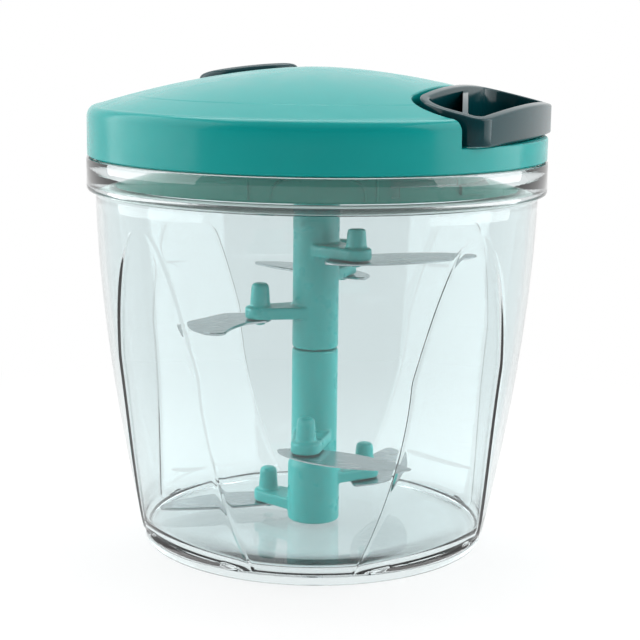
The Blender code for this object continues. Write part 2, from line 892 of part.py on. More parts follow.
def make_cord(material):
    """The cord's stretches: one from the winding to the guide, one from the guide to the knot."""
    reach = guide_seat() - recess_wall / 2 - guide_lip - touch_gap
    wound = drum_radius + touch_gap + winding_depth + cord_radius + touch_gap
    lean = math.acos(wound / reach)
    tangent = on_bearing(pull_bearing + lean, wound, pull_height)
    mouth = pull_axis * (reach - touch_gap) + Vector((0, 0, pull_height))
    lead = cord_piece("cord_lead", tangent, mouth, material)
    start = pull_axis * (reach + 2 * touch_gap + cord_radius / 2) + Vector((0, 0, pull_height))
    knot_centre = handle_apex + handle_wall + touch_gap + knot_radius
    end = pull_axis * (knot_centre - knot_radius - touch_gap) + Vector((0, 0, pull_height))
    run = cord_piece("cord_run", start, end, material)
    bulge = [(knot_radius * math.sin(a), knot_radius * math.cos(a)) for a in np.linspace(0, math.pi, 9)]
    bulge[0] = (0, knot_radius)
    bulge[-1] = (0, -knot_radius)
    knot = turned("cord_knot", bulge, material, segments=16)
    place(knot, pull_axis * knot_centre + Vector((0, 0, pull_height)), (0, math.pi / 2, pull_bearing))
    return lead, run, knot


def make_guide(material):
    """The eyelet in the tray's apex wall that the cord runs through."""
    sleeve = guide_bore + guide_wall
    half = recess_wall / 2 + touch_gap
    rim = sleeve + guide_flange
    profile = (
        (sleeve, half + guide_lip),
        (sleeve, -half),
        (rim, -half),
        (rim, -half - guide_lip),
        (guide_bore, -half - guide_lip),
        (guide_bore, half + guide_lip),
    )
    guide = turned("cord_guide", profile, material, segments=20, closed=True)
    place(guide, pull_axis * guide_seat() + Vector((0, 0, pull_height)), (0, math.pi / 2, pull_bearing))
    return guide


def make_axle(material):
    top = lid_top - cover_wall - touch_gap
    bottom = coupler_bottom
    bore = axle_screw_radius + touch_gap
    bore_top = bottom + axle_screw_length
    profile = (
        (0, top),
        (axle_radius - edge_break, top),
        (axle_radius, top - edge_break),
        (axle_radius, bottom),
        (bore, bottom),
        (bore, bore_top),
        (0, bore_top),
    )
    return turned("lid_axle", profile, material, segments=20)


def make_retainer(steel):
    """The washer under the coupler and the screw that holds it up, driven into the axle's end."""
    top = coupler_bottom - touch_gap
    bottom = top - washer_thickness
    bore = axle_screw_radius + touch_gap
    disc = turned(
        "retainer_washer",
        ((washer_radius, top), (washer_radius, bottom), (bore, bottom), (bore, top)),
        steel,
        segments=24,
        closed=True,
    )
    shank_top = coupler_bottom + axle_screw_length - touch_gap
    head_top = bottom - touch_gap
    head_bottom = head_top - axle_screw_head
    head = turned(
        "axle_screw",
        (
            (0, shank_top),
            (axle_screw_radius, shank_top),
            (axle_screw_radius, head_top),
            (screw_head_radius, head_top),
            (screw_head_radius, head_bottom + 2 * edge_break),
            (screw_head_radius - 3 * edge_break, head_bottom),
            (0, head_bottom),
        ),
        steel,
        segments=20,
    )
    return disc, head


def make_screws(material):
    """The screws that fasten the lower shell to the cover, put in from below."""
    top = plate_top + screw_length - 3 * edge_break
    under_plate = plate_bottom - touch_gap
    low = under_plate - screw_head_height
    profile = (
        (0, top),
        (screw_radius * 0.4, top),
        (screw_radius, top - 4 * edge_break),
        (screw_radius, under_plate),
        (screw_head_radius, under_plate),
        (screw_head_radius, low + edge_break),
        (screw_head_radius - 2 * edge_break, low),
        (0, low),
    )
    screws = []
    for k, bearing in enumerate(screw_bearings):
        screw = turned(f"lid_screw_{k + 1}", profile, material, segments=14)
        place(screw, on_bearing(pull_bearing + math.radians(bearing), screw_circle))
        screws.append(screw)
    return screws


def make_pivot(material):
    """The steel pin in the bowl's floor that the rotor turns on."""
    top = floor_top + pivot_height
    profile = (
        (0, top),
        (pivot_radius - 2 * edge_break, top - edge_break / 2),
        (pivot_radius, top - 3 * edge_break),
        (pivot_radius, floor_top - pivot_sink),
        (0, floor_top - pivot_sink),
    )
    return turned("pivot_pin", profile, material, segments=20)


def add_arm(rotor, label, bearing, height):
    """Joins one arm to the rotor: a plate that narrows to a round end, a peg on top of it, and a
    stake below it for the blade."""
    root = rotor_radius / 2
    outline = [(root, -arm_root_width / 2)]
    outline += arc_points((arm_reach, 0), arm_tip_radius, -math.pi / 2, math.pi / 2, 9)
    outline += [(root, arm_root_width / 2)]
    plate = prism(f"{label}_plate", [outline], height, height + arm_thickness)
    plate.rotation_euler = (0, 0, bearing)
    top = height + arm_thickness + peg_height
    peg = turned(
        f"{label}_peg",
        (
            (0, top),
            (peg_radius - 4 * edge_break, top - edge_break / 2),
            (peg_radius - edge_break, top - 3 * edge_break),
            (peg_radius, height + arm_thickness),
            (peg_radius, height + arm_thickness / 2),
            (stake_radius, height + arm_thickness / 2),
            (stake_radius, height - stake_length),
            (0, height - stake_length),
        ),
        segments=16,
    )
    place(peg, on_bearing(bearing, arm_reach))
    join(rotor, plate, peg)


def make_rotor_lower(material):
    """The lower section: it turns on the floor's pin and takes the upper section's spigot."""
    socket = spigot_radius + touch_gap
    seat = section_seam - spigot_length - touch_gap
    pin_bore = pivot_radius + touch_gap
    pin_top = floor_top + pivot_height + touch_gap
    profile = (
        (rotor_radius - edge_break, section_seam),
        (rotor_radius, section_seam - edge_break),
        (rotor_radius, root_height + root_step),
        (rotor_root_radius, root_height),
        (rotor_root_radius, rotor_bottom + 2 * edge_break),
        (rotor_root_radius - 2 * edge_break, rotor_bottom),
        (0, rotor_bottom),
        (0, seat),
        (socket, seat),
        (socket, section_seam),
    )
    rotor = turned("rotor_lower", profile, material, segments=36, closed=True)
    bore = turned(
        "pin_bore",
        ((0, pin_top), (pin_bore, pin_top), (pin_bore, 0), (0, 0)),
        segments=20,
    )
    for k, (bearing, height) in enumerate(lower_arms):
        add_arm(rotor, f"lower_arm_{k + 1}", math.radians(bearing), height)
    cut(rotor, bore)
    return rotor


def make_rotor_upper(material):
    """The upper section: a spigot below, and a hexagonal socket on top for the drive."""
    seam = section_seam + touch_gap
    profile = (
        (0, rotor_top),
        (rotor_radius - edge_break, rotor_top),
        (rotor_radius, rotor_top - edge_break),
        (rotor_radius, seam + edge_break),
        (rotor_radius - edge_break, seam),
        (spigot_radius, seam),
        (spigot_radius, section_seam - spigot_length + edge_break),
        (spigot_radius - edge_break, section_seam - spigot_length),
        (0, section_seam - spigot_length),
    )
    rotor = turned("rotor_upper", profile, material, segments=36)
    for k, (bearing, height) in enumerate(upper_arms):
        add_arm(rotor, f"upper_arm_{k + 1}", math.radians(bearing), height)
    screw_end = coupler_bottom - 2 * touch_gap - washer_thickness - axle_screw_head
    socket_floor = screw_end - coupler_play
    socket = hexagon_prism("rotor_socket", socket_radius, socket_floor, rotor_top + cut_past)
    cut(rotor, socket)
    return rotor


def blade_outline(reach, edge, back, fullness):
    """A blade from its narrow heel to its tip, along +X from the stake. Both sides bow as a power
    of a sine; the hooked blade, which has no such power, is broad, ends round, and its back has a
    lobe round the stake, a hollow behind it and a corner near the tip."""
    share = np.linspace(0, 1, 15)
    along = -blade_heel + (reach + blade_heel) * share
    if fullness is not None:
        bow = np.sin(math.pi * share**0.85) ** fullness
        cutting = edge * bow
        behind = back * bow
    else:
        end = np.sqrt(1 - ((share - 0.7) / 0.3).clip(0, 1) ** 2)
        tip = np.sqrt(1 - ((share - 0.85) / 0.15).clip(0, 1) ** 2)
        lobe = np.exp(-(((share - 0.26) / 0.14) ** 2))
        cutting = edge * np.sin(math.pi / 2 * np.minimum(1, share / 0.3)) ** 0.8 * end
        behind = back * (0.5 * lobe + 1.35 * share**4) * tip
    points = [(x, -y) for x, y in zip(along, cutting)]
    points += [(x, y) for x, y in list(zip(along, behind))[-2:0:-1]]
    return points


def make_blades(material):
    """Six blades, each staked under its arm with a hole for the stake."""
    blades = []
    settings = list(zip(upper_arms + lower_arms, upper_blades + lower_blades))
    for k, ((bearing, height), (heading, reach, edge, back, fullness)) in enumerate(settings):
        hole = arc_points((0, 0), stake_radius + touch_gap, 0, -2 * math.pi * 11 / 12, 12)
        top = height - touch_gap
        outline = blade_outline(reach, edge, back, fullness)
        blade = prism(f"blade_{k + 1}", [outline, hole], top - blade_thickness, top, material)
        place(blade, on_bearing(math.radians(bearing), arm_reach), (0, 0, math.radians(heading)))
        blades.append(blade)
    return blades


clear_scene()
parts = new_collection("Pull-cord food chopper")
cutters = new_collection("Cutters")
cutters.hide_render = True

clear_plastic = make_material("clear plastic", (0.86, 0.93, 0.91), 0.04, alpha=0.3)
teal_gloss = make_material("teal gloss plastic", (0.05, 0.49, 0.45), 0.16)
teal_plain = make_material("teal inner plastic", (0.10, 0.53, 0.48), 0.3)
handle_plastic = make_material("dark handle plastic", (0.01, 0.06, 0.07), 0.12)
blade_steel = make_material("blade steel", (0.6, 0.62, 0.62), 0.22, 1.0)
pin_steel = make_material("pin steel", (0.55, 0.56, 0.57), 0.3, 1.0)
seal_rubber = make_material("seal silicone", (0.85, 0.88, 0.86), 0.4)
cord_fibre = make_material("cord fibre", (0.75, 0.75, 0.72), 0.8)
guide_nylon = make_material("guide nylon", (0.8, 0.8, 0.78), 0.35)

bowl = make_bowl(clear_plastic)
hang_on(make_pivot(pin_steel), bowl)

rotor_axis = joint_empty("rotor_axis", (0, 0, rotor_bottom))
hang_on(rotor_axis, bowl)
for piece in (make_rotor_lower(teal_plain), make_rotor_upper(teal_plain), *make_blades(blade_steel)):
    hang_on(piece, rotor_axis)

seal = make_seal(seal_rubber)
lid_axis = joint_empty("lid_axis", (0, 0, lid_bottom))
hang_on(lid_axis, seal)
lid_pieces = [make_cover(teal_gloss), make_lid_base(teal_plain), make_cup(teal_plain)]
lid_pieces += [make_spring(pin_steel), make_axle(pin_steel), make_guide(guide_nylon)]
lid_pieces += make_screws(pin_steel)
pad = prism("thumb_pad", [oval(pad_length / 2, pad_width / 2)], 0, pad_thickness, handle_plastic)
set_on_crown(pad, touch_gap - pad_sink)
lid_pieces.append(pad)
lid_pieces += make_retainer(pin_steel)
lead, run, knot = make_cord(cord_fibre)
lid_pieces.append(lead)
for piece in lid_pieces:
    hang_on(piece, lid_axis)

spool_axis = joint_empty("spool_axis", (0, 0, spool_bottom))
hang_on(spool_axis, lid_axis)
for piece in (make_spool(teal_plain), make_coupler(guide_nylon), make_winding(cord_fibre)):
    hang_on(piece, spool_axis)

pull_origin = joint_empty("pull_origin", pull_axis * handle_apex + Vector((0, 0, pull_height)))
hang_on(pull_origin, lid_axis)
for piece in (make_handle(handle_plastic), run, knot):
    hang_on(piece, pull_origin)
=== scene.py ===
"""Looks of the pull-cord food chopper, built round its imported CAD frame.

Metres, +Z up. The origin is the centre of the bowl's underside, on the rotor's axis, and the
front of the chopper faces -Y. A bearing is an angle from +X, anticlockwise seen from above.
"""

import math

import bmesh
import bpy
import numpy as np
from bpy.props import FloatProperty, FloatVectorProperty, PointerProperty
from mathutils import Matrix, Vector


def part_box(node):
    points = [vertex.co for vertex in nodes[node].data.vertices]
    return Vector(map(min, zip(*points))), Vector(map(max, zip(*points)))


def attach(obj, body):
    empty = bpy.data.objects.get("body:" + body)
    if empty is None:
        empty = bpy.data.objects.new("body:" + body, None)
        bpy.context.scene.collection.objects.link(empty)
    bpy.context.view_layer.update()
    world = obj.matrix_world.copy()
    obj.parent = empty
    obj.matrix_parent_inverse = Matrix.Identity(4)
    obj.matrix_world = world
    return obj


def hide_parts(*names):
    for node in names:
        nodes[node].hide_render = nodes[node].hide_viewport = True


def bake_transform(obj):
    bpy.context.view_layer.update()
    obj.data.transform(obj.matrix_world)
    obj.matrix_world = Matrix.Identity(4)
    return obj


bl_info = {
    "name": "Pull-cord food chopper",
    "version": (1, 0, 0),
    "blender": (4, 5, 0),
    "location": "View3D > Sidebar > Chopper",
    "description": "Builds the visible pieces of a pull-cord food chopper on its CAD frame",
    "category": "Add Mesh",
}

mm = 0.001

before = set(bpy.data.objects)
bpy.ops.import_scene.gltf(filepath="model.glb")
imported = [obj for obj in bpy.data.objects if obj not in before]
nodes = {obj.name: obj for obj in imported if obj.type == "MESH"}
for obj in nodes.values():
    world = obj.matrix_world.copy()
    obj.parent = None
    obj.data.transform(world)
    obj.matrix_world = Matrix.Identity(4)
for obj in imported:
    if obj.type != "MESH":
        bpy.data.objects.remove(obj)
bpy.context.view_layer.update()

# Places that the CAD model gives
collar_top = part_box("bowl")[1].z
lid_bottom = collar_top + 0.3 * mm
lid_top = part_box("lid_cover")[1].z
handle_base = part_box("pull_handle")[0].z
skirt_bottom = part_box("lid_base")[0].z
rotor_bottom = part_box("rotor_lower")[0].z
rotor_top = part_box("rotor_upper")[1].z

# Bowl
foot_height = 2.6 * mm
foot_edge = 0.9 * mm
foot_lip = 0.2 * mm
floor_top = 3.2 * mm
floor_fillet = 4.0 * mm
flare_power = 1.7
collar_bottom = 101.9 * mm
facet_top = 95.0 * mm
facet_count = 4
facet_columns = 36
facet_bearing = math.radians(-138)
facet_half_angle_foot = math.radians(31)
facet_half_angle_waist = math.radians(17)
facet_curl = 0.56
facet_waist = 0.4  # share of a facet's height from its arch down to its waist
facet_border = math.radians(3)
neck_bore = 61.0 * mm
collar_bore = 63.5 * mm
ledge_height = collar_bottom + 0.3 * mm
facet_ridge = 0.22 * mm
facet_ridge_width = math.radians(0.9)
ridge_fade_top = 12.0 * mm
ridge_fade_foot = 9.0 * mm

# Twist lock
lock_bearing = math.radians(-73.3)
lock_count = 3
lock_turns = [k * 2 * math.pi / lock_count for k in range(lock_count)]
ramp_arc = math.radians(17)
ramp_depth = 0.9 * mm
ramp_top = lid_bottom - 1.4 * mm
ramp_height = 1.5 * mm
stop_ends = (math.radians(0.3), math.radians(2))
lug_arc = math.radians(9)
lug_gap = math.radians(1.5)
lug_top = lid_bottom - 3.4 * mm
lug_height = 2.0 * mm
lock_ease = 0.25 * mm

# Lid
shoulder_height = 10.8 * mm
shoulder_inset = 2.6 * mm
shoulder_rise = 3.2 * mm
crown_power = 1.75
crease_radius = 51.5 * mm
crease_width = 1.2 * mm
crease_drop = 0.1 * mm
cover_wall = 2.2 * mm
rim_chamfer = 0.4 * mm
plate_bottom = lid_bottom - 4.8 * mm
plate_top = plate_bottom + 2.0 * mm
skirt_radius = 62.2 * mm
skirt_wall = 2.0 * mm
upstand = 2.0 * mm
rib_radius = 0.3 * mm
rib_bearings = (-106, -76.2)
rib_foot = skirt_bottom + 0.6 * mm
rib_top = lid_bottom - 0.6 * mm
arch_bearings = (-100.5, -79)
arch_top = lid_bottom - 1.1 * mm
arch_corner = 3.6 * mm
arch_corner_run = math.radians(6)
axle_bore = 5.2 * mm
recess_side = 36.9 * mm
recess_half_width = 35.6 * mm
recess_corner_radius = 13.1 * mm
recess_wall = 2.0 * mm
recess_floor = handle_base - 0.3 * mm
spine_place = -20.0 * mm
spine_reach = 50.0 * mm
spine_bearing = math.radians(110)
# Columns over the recess's inner side, its corner, its flank and the rim beside it
edge_columns = (50, 46, 10, 46)
# Where those stretches start and end on the spine, and as shares of the recess's half width on the rim
spine_ends = (0, 27 * mm, 41 * mm, 43 * mm, 50 * mm)
foot_shares = (0, 0.82, 0.985, 1.0)

# Handle
pull_bearing = math.radians(-23)
pull_height = 122.0 * mm
handle_side = 39.0 * mm
handle_half_width = 33.4 * mm
handle_inner_radius = 11.0 * mm
handle_corner_reach = 60.2 * mm
handle_corner_radius = 5.0 * mm
handle_side_radius = 207.0 * mm
handle_wall = 2.5 * mm
handle_crown = 135.4 * mm
handle_crown_radius = 240.0 * mm
handle_lean = 0.02
handle_ease = 0.6 * mm
partition_near = (53.0 * mm, -29.0 * mm)
partition_far = (39.5 * mm, 13.0 * mm)
partition_wall = 1.4 * mm
partition_drop = 1.2 * mm
knot_reach = 44.2 * mm
knot_radius = 2.2 * mm
eyelet_bore = 1.1 * mm
eyelet_radius = 2.6 * mm
eyelet_lip = 0.5 * mm

# Rotor
rotor_radius = 6.7 * mm
root_radius = 7.6 * mm
root_height = 21.0 * mm
section_seam = 55.3 * mm
seam_gap = 0.3 * mm
arm_reach = 16.5 * mm
arm_thickness = 3.4 * mm
arm_root_width = 12.0 * mm
arm_tip_radius = 4.3 * mm
peg_radius = 2.7 * mm
peg_height = 6.8 * mm
stake_radius = 1.3 * mm
socket_radius = 5.0 * mm
socket_depth = 12.0 * mm
fuse_voxel = 0.36 * mm
blade_heel = 9.0 * mm
blade_stations = 110
blade_gap = 0.3 * mm
blade_thickness = 0.8 * mm
ground_width = 2.6 * mm
upper_arms = ((-47, 83.0 * mm), (62, 75.0 * mm), (-165, 64.7 * mm))
lower_arms = ((-98, 28.2 * mm), (23, 15.0 * mm), (146, 6.4 * mm))
# Each blade: heading in degrees, reach past the stake, the widths to its edge and its back, and the
# power that its bow is raised to; the hooked blade has none
blade_shapes = (
    (23, 38.0 * mm, 8.4 * mm, 11.0 * mm, 0.5),
    (140, 35.0 * mm, 9.6 * mm, 3.6 * mm, 0.5),
    (-125, 25.0 * mm, 13.6 * mm, 5.4 * mm, None),
    (-27, 32.5 * mm, 8.0 * mm, 6.6 * mm, 0.7),
    (74, 34.0 * mm, 10.2 * mm, 5.0 * mm, 0.6),
    (196, 33.0 * mm, 10.2 * mm, 3.6 * mm, 0.55),
)

# Thumb pad
pad_place = (-20.6 * mm, 23.5 * mm)
pad_sink = 0.5 * mm

# Camera, fitted to the photograph's frame of 640 by 640
frame_width = 640
focal_pixels = 1574.0
sensor_width = 36.0
camera_place = (0.0, -0.450, 0.1488)
camera_pitch = math.radians(10.76)
camera_yaw = math.radians(0.17)
camera_roll = math.radians(0.71)

# Light: the even fill, and how bright the room is in front of the chopper. It brightens over a
# range of the direction's Y towards the back, and over one of its Z upwards.
fill_light = 0.13
room_front = 0.28
room_depth = (-0.55, 0.3)
room_above = (0.35, 0.8)
lamp_target = (0, 0, 0.08)
# Each lamp: place, width and height, watts
softboxes = {
    "left softbox": ((-0.75, -0.02, 0.32), (1.0, 1.1), 9.5),
    "right softbox": ((0.75, -0.06, 0.32), (0.9, 1.1), 9.0),
    "top softbox": ((0.0, 0.25, 0.85), (0.8, 0.6), 7.0),
}

# Floor: how far it reaches, and the stretch over which its own glow grows from a share to the whole
floor_reach = 3.0
floor_drop = 0.05 * mm
floor_glow = 0.7
floor_glow_span = (0.06, 0.24)

mirrored = np.array([1, -1])


def colour_property(name, description, default):
    return FloatVectorProperty(name=name, description=description, default=default, size=3, subtype="COLOR")


def size_property(name, description, default):
    return FloatProperty(name=name, description=description, default=default, unit="LENGTH", subtype="DISTANCE")


class ChopperSizes(bpy.types.PropertyGroup):
    foot_radius: size_property("Foot radius", "Outer radius of the bowl's foot", 49.6 * mm)
    neck_radius: size_property("Neck radius", "Outer radius of the bowl under its collar", 62.8 * mm)
    collar_radius: size_property("Collar radius", "Outer radius of the bowl's collar", 65.3 * mm)
    bowl_wall: size_property("Bowl wall", "Thickness of the bowl's wall", 1.8 * mm)
    lid_radius: size_property("Lid radius", "Outer radius of the lid's cover", 65.0 * mm)
    edge_ease: size_property("Edge ease", "Rounding of the moulded edges", 0.5 * mm)
    cord_radius: size_property("Cord radius", "Radius of the pull cord", 0.9 * mm)
    pad_length: size_property("Pad length", "Length of the thumb pad", 29.6 * mm)
    pad_width: size_property("Pad width", "Width of the thumb pad", 17.0 * mm)
    pad_rise: size_property("Pad rise", "Height of the thumb pad over the crown", 2.2 * mm)


class ChopperColours(bpy.types.PropertyGroup):
    bowl: colour_property("Bowl", "Tint of the clear plastic", (0.80, 0.865, 0.872))
    cover: colour_property("Cover", "Gloss teal of the lid", (0.001, 0.285, 0.272))
    rotor: colour_property("Rotor", "Teal of the rotor", (0.018, 0.41, 0.385))
    lid_base: colour_property("Lower shell", "Teal of the lid's lower shell", (0.001, 0.21, 0.16))
    handle: colour_property("Handle", "Dark petrol of the handle and the pad", (0.001, 0.034, 0.041))
    steel: colour_property("Steel", "Blades and pins", (0.47, 0.50, 0.51))
    seal: colour_property("Seal", "Silicone ring", (0.75, 0.82, 0.79))
    nylon: colour_property("Nylon", "Guide and coupler", (0.72, 0.73, 0.70))
    cord: colour_property("Cord", "Braided cord", (0.62, 0.62, 0.58))
    floor: colour_property("Floor", "Floor under the chopper", (0.90, 0.90, 0.90))


# Surfaces


def eased(points, ease, count=5):
    """A closed outline whose corners are quadratic curves. Each curve starts and ends `ease` away
    from its corner, along the two sides, and a corner on the axis stays sharp."""
    corner = np.asarray(points, float)
    before = np.roll(corner, 1, 0) - corner
    after = np.roll(corner, -1, 0) - corner
    before_length = np.linalg.norm(before, axis=1, keepdims=True)
    after_length = np.linalg.norm(after, axis=1, keepdims=True)
    reach = np.minimum(ease, 0.45 * np.minimum(before_length, after_length))
    reach = reach * (np.abs(corner[:, :1]) > 1e-9)
    start = corner + before / before_length * reach
    end = corner + after / after_length * reach
    t = np.linspace(0, 1, count)[None, :, None]
    curve = (1 - t) ** 2 * start[:, None] + 2 * t * (1 - t) * corner[:, None] + t**2 * end[:, None]
    return curve.reshape(-1, 2)


def full_turn(count):
    return np.arange(count) * (2 * np.pi / count)


def around(radius, angle, height):
    """The points (r cos a, r sin a, z)."""
    x, y = radius * np.cos(angle), radius * np.sin(angle)
    return np.stack([x, y, np.broadcast_to(height, x.shape)], axis=-1)


def turn(profile, columns):
    """A profile of (radius, height) carried round the Z axis."""
    radius, height = np.hsplit(np.asarray(profile, float), 2)
    return around(radius, full_turn(columns), height)


def beside(point, steps):
    """Points beside a point, from steps in millimetres."""
    return [(point[0] + out * mm, point[1] + up * mm) for out, up in steps]


def slab(outline, low, high, ease):
    """A star-shaped outline carried from one height to the other. Near both faces it draws in
    towards its centre by a quarter circle of radius `ease`, and each face closes at the centre."""
    outline = np.asarray(outline, float)
    centre = outline.mean(0)
    away = outline - centre
    away = away / np.linalg.norm(away, axis=1, keepdims=True)
    quarter = np.linspace(0, np.pi / 2, 4)
    draw = np.concatenate([ease * (1 - np.sin(quarter)), ease * (1 - np.cos(quarter))])
    rise = np.concatenate([low + ease * (1 - np.cos(quarter)), high - ease * (1 - np.sin(quarter))])
    rings = outline[None] - away[None] * draw[:, None, None]
    middle = np.broadcast_to(centre, (1, *outline.shape))
    flat = np.concatenate([middle, rings, middle])
    height = np.concatenate([[low], rise, [high]])
    return np.concatenate([flat, np.broadcast_to(height[:, None, None], (*flat.shape[:2], 1))], axis=-1)


def bent_block(radii, bearings, heights, columns=14):
    """An eased rectangle of (radius, height) carried round the axis between two bearings and
    closed at both ends by its own middle. Its rows run round the axis, one for each corner point."""
    (r0, r1), (z0, z1) = radii, heights
    section = eased([(r0, z0), (r1, z0), (r1, z1), (r0, z1)], lock_ease)
    middle = np.array([(r0 + r1) / 2, (z0 + z1) / 2])
    inner_turn = lock_ease / r0
    spread = np.concatenate([[0, 0], np.linspace(inner_turn, 1 - inner_turn, columns), [1, 1]])
    size = np.concatenate([[0, 0.8], np.ones(columns), [0.8, 0]])
    angle = bearings[0] + (bearings[1] - bearings[0]) * spread
    scaled = middle + (section[None] - middle) * size[:, None, None]
    return around(scaled[..., 0], angle[:, None], scaled[..., 1]).transpose(1, 0, 2)


def tube(path, radius, sides=14):
    """A circle carried along a path, square to it, and closed at both ends. On a path that climbs
    it is set up from the outward direction, and on a level one from the upright."""
    path = np.asarray(path, float)
    along = np.gradient(path, axis=0)
    along = along / np.linalg.norm(along, axis=1, keepdims=True)
    away = path * np.array([1.0, 1.0, 0.0]) + np.array([0.0, 0.0, 1e-6])
    upright = np.ptp(path[:, 2]) > 0.5 * mm
    side = np.cross(along, away if upright else np.array([0.0, 0.0, 1.0]))
    side = side / np.linalg.norm(side, axis=1, keepdims=True)
    up = np.cross(side, along)
    angle = full_turn(sides)
    ring = side[:, None] * np.cos(angle)[None, :, None] + up[:, None] * np.sin(angle)[None, :, None]
    body = path[:, None] + radius * ring
    ends = [np.broadcast_to(path[i], (1, sides, 3)) for i in (0, -1)]
    return np.concatenate([ends[0], body, ends[1]])


def moved(patch, bearing, place):
    """The patch turned about Z by a bearing and carried to a place."""
    c, s = math.cos(bearing), math.sin(bearing)
    x = patch[..., 0] * c - patch[..., 1] * s + place[0]
    y = patch[..., 0] * s + patch[..., 1] * c + place[1]
    return np.stack([x, y, patch[..., 2] + place[2]], axis=-1)


def grid_faces(rows, columns, ring, first):
    """Quads between neighbouring rows, round the columns. A ring's last row meets its first."""
    row, column = np.meshgrid(np.arange(rows if ring else rows - 1), np.arange(columns), indexing="ij")
    next_row, next_column = (row + 1) % rows, (column + 1) % columns
    corners = [
        row * columns + column,
        row * columns + next_column,
        next_row * columns + next_column,
        next_row * columns + column,
    ]
    return first + np.stack(corners, axis=-1).reshape(-1, 4)


def add_piece(name, patches, finish, body, replaced=(), crease=35):
    """Puts closed patches into one mesh. A patch is (points, ring), points in rows and columns,
    columns always closed. Rows that meet in a pole are merged, and faces point outwards."""
    points, faces, first = [], [], 0
    for patch, ring in patches:
        rows, columns = patch.shape[:2]
        points.append(patch.reshape(-1, 3))
        faces.append(grid_faces(rows, columns, ring, first))
        first += rows * columns
    mesh = bpy.data.meshes.new(name)
    mesh.from_pydata(np.concatenate(points), [], np.concatenate(faces))
    work = bmesh.new()
    work.from_mesh(mesh)
    bmesh.ops.remove_doubles(work, verts=work.verts, dist=2e-7)
    bmesh.ops.dissolve_degenerate(work, edges=work.edges, dist=1e-7)
    bmesh.ops.recalc_face_normals(work, faces=work.faces)
    work.to_mesh(mesh)
    work.free()
    mesh.shade_smooth()
    mesh.set_sharp_from_angle(angle=math.radians(crease))
    mesh.materials.append(finish)
    obj = bpy.data.objects.new(name, mesh)
    bpy.context.scene.collection.objects.link(obj)
    if replaced:
        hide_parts(*replaced)
    if body:
        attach(obj, body)
    return obj


# Materials


def node_tree(name):
    made = bpy.data.materials.new(name)
    made.use_nodes = True
    return made, made.node_tree, made.node_tree.nodes["Principled BSDF"]


def fill_inputs(tree, node, inputs):
    """Gives each input, by name or number, its value or a link from another node's output."""
    for socket, value in inputs.items():
        if isinstance(value, bpy.types.NodeSocket):
            tree.links.new(value, node.inputs[socket])
        else:
            node.inputs[socket].default_value = value


def add_node(tree, kind, output, inputs, **settings):
    """Adds a shader node and gives back the named one of its outputs."""
    node = tree.nodes.new(kind)
    for setting, value in settings.items():
        setattr(node, setting, value)
    fill_inputs(tree, node, inputs)
    return node.outputs[output]


def object_place(tree):
    return add_node(tree, "ShaderNodeTexCoord", "Object", {})


def axis_distance(tree):
    """How far the shaded point is from the object's Z axis."""
    inputs = {0: object_place(tree), 1: (1, 1, 0)}
    flat = add_node(tree, "ShaderNodeVectorMath", "Vector", inputs, operation="MULTIPLY")
    return add_node(tree, "ShaderNodeVectorMath", "Value", {0: flat}, operation="LENGTH")


def noise(tree, scale, detail=3.0, stretch=(1, 1, 1)):
    """Noise on Object coordinates. `scale` is how many features there are to a metre."""
    mapped = add_node(tree, "ShaderNodeMapping", "Vector", {"Vector": object_place(tree), "Scale": stretch})
    return add_node(tree, "ShaderNodeTexNoise", "Fac", {"Vector": mapped, "Scale": scale, "Detail": detail})


def ranged(tree, value, low, high, span=(0.3, 0.7), curve="LINEAR"):
    """The value carried from its span to the range from low to high, and held at both ends."""
    inputs = {"Value": value, "From Min": span[0], "From Max": span[1], "To Min": low, "To Max": high}
    return add_node(tree, "ShaderNodeMapRange", "Result", inputs, interpolation_type=curve)


def bumped(tree, shaded, value, strength, distance):
    """Bends the normal of a shader, or of another bump, by a height."""
    inputs = {"Height": value, "Strength": strength, "Distance": distance}
    tree.links.new(add_node(tree, "ShaderNodeBump", "Normal", inputs), shaded.inputs["Normal"])


def mottled(tree, shader, colour, spread, value):
    """Base colour that wanders a little either side of its tone."""
    darker = (*[c * (1 - spread) for c in colour], 1)
    lighter = (*[min(1.0, c * (1 + spread)) for c in colour], 1)
    inputs = {"Factor": value, "A": darker, "B": lighter}
    tone = add_node(tree, "ShaderNodeMix", "Result", inputs, data_type="RGBA")
    tree.links.new(tone, shader.inputs["Base Color"])


def mixed_surface(tree, share, one, other):
    """Puts two shaders on the surface, mixed by a share."""
    mix = add_node(tree, "ShaderNodeMixShader", "Shader", {"Fac": share, 1: one, 2: other})
    tree.links.new(mix, tree.nodes["Material Output"].inputs["Surface"])


def moulded_plastic(name, colour, rough, spread=0.05, grain=0.15, gloss=0.5):
    """Moulded plastic: faint cloudy tone, roughness that wanders with handling, fine grain."""
    made, tree, shader = node_tree(name)
    mottled(tree, shader, colour, spread, noise(tree, 45))
    wander = ranged(tree, noise(tree, 160, 5), rough * 0.8, rough * 1.3)
    bumped(tree, shader, noise(tree, 2600, 2), grain, 0.02 * mm)
    fill_inputs(tree, shader, {"Roughness": wander, "IOR": 1.5, "Specular IOR Level": gloss})
    return made


def ground_steel(name, colour, rough, stretch):
    """Ground or rolled steel: fine lines along the grinding direction and a little smudging."""
    made, tree, shader = node_tree(name)
    mottled(tree, shader, colour, 0.08, noise(tree, 60))
    lines = noise(tree, 900, 4, stretch)
    bumped(tree, shader, lines, 0.12, 0.006 * mm)
    fill_inputs(tree, shader, {"Roughness": ranged(tree, lines, rough * 0.85, rough * 1.2), "Metallic": 1.0})
    return made


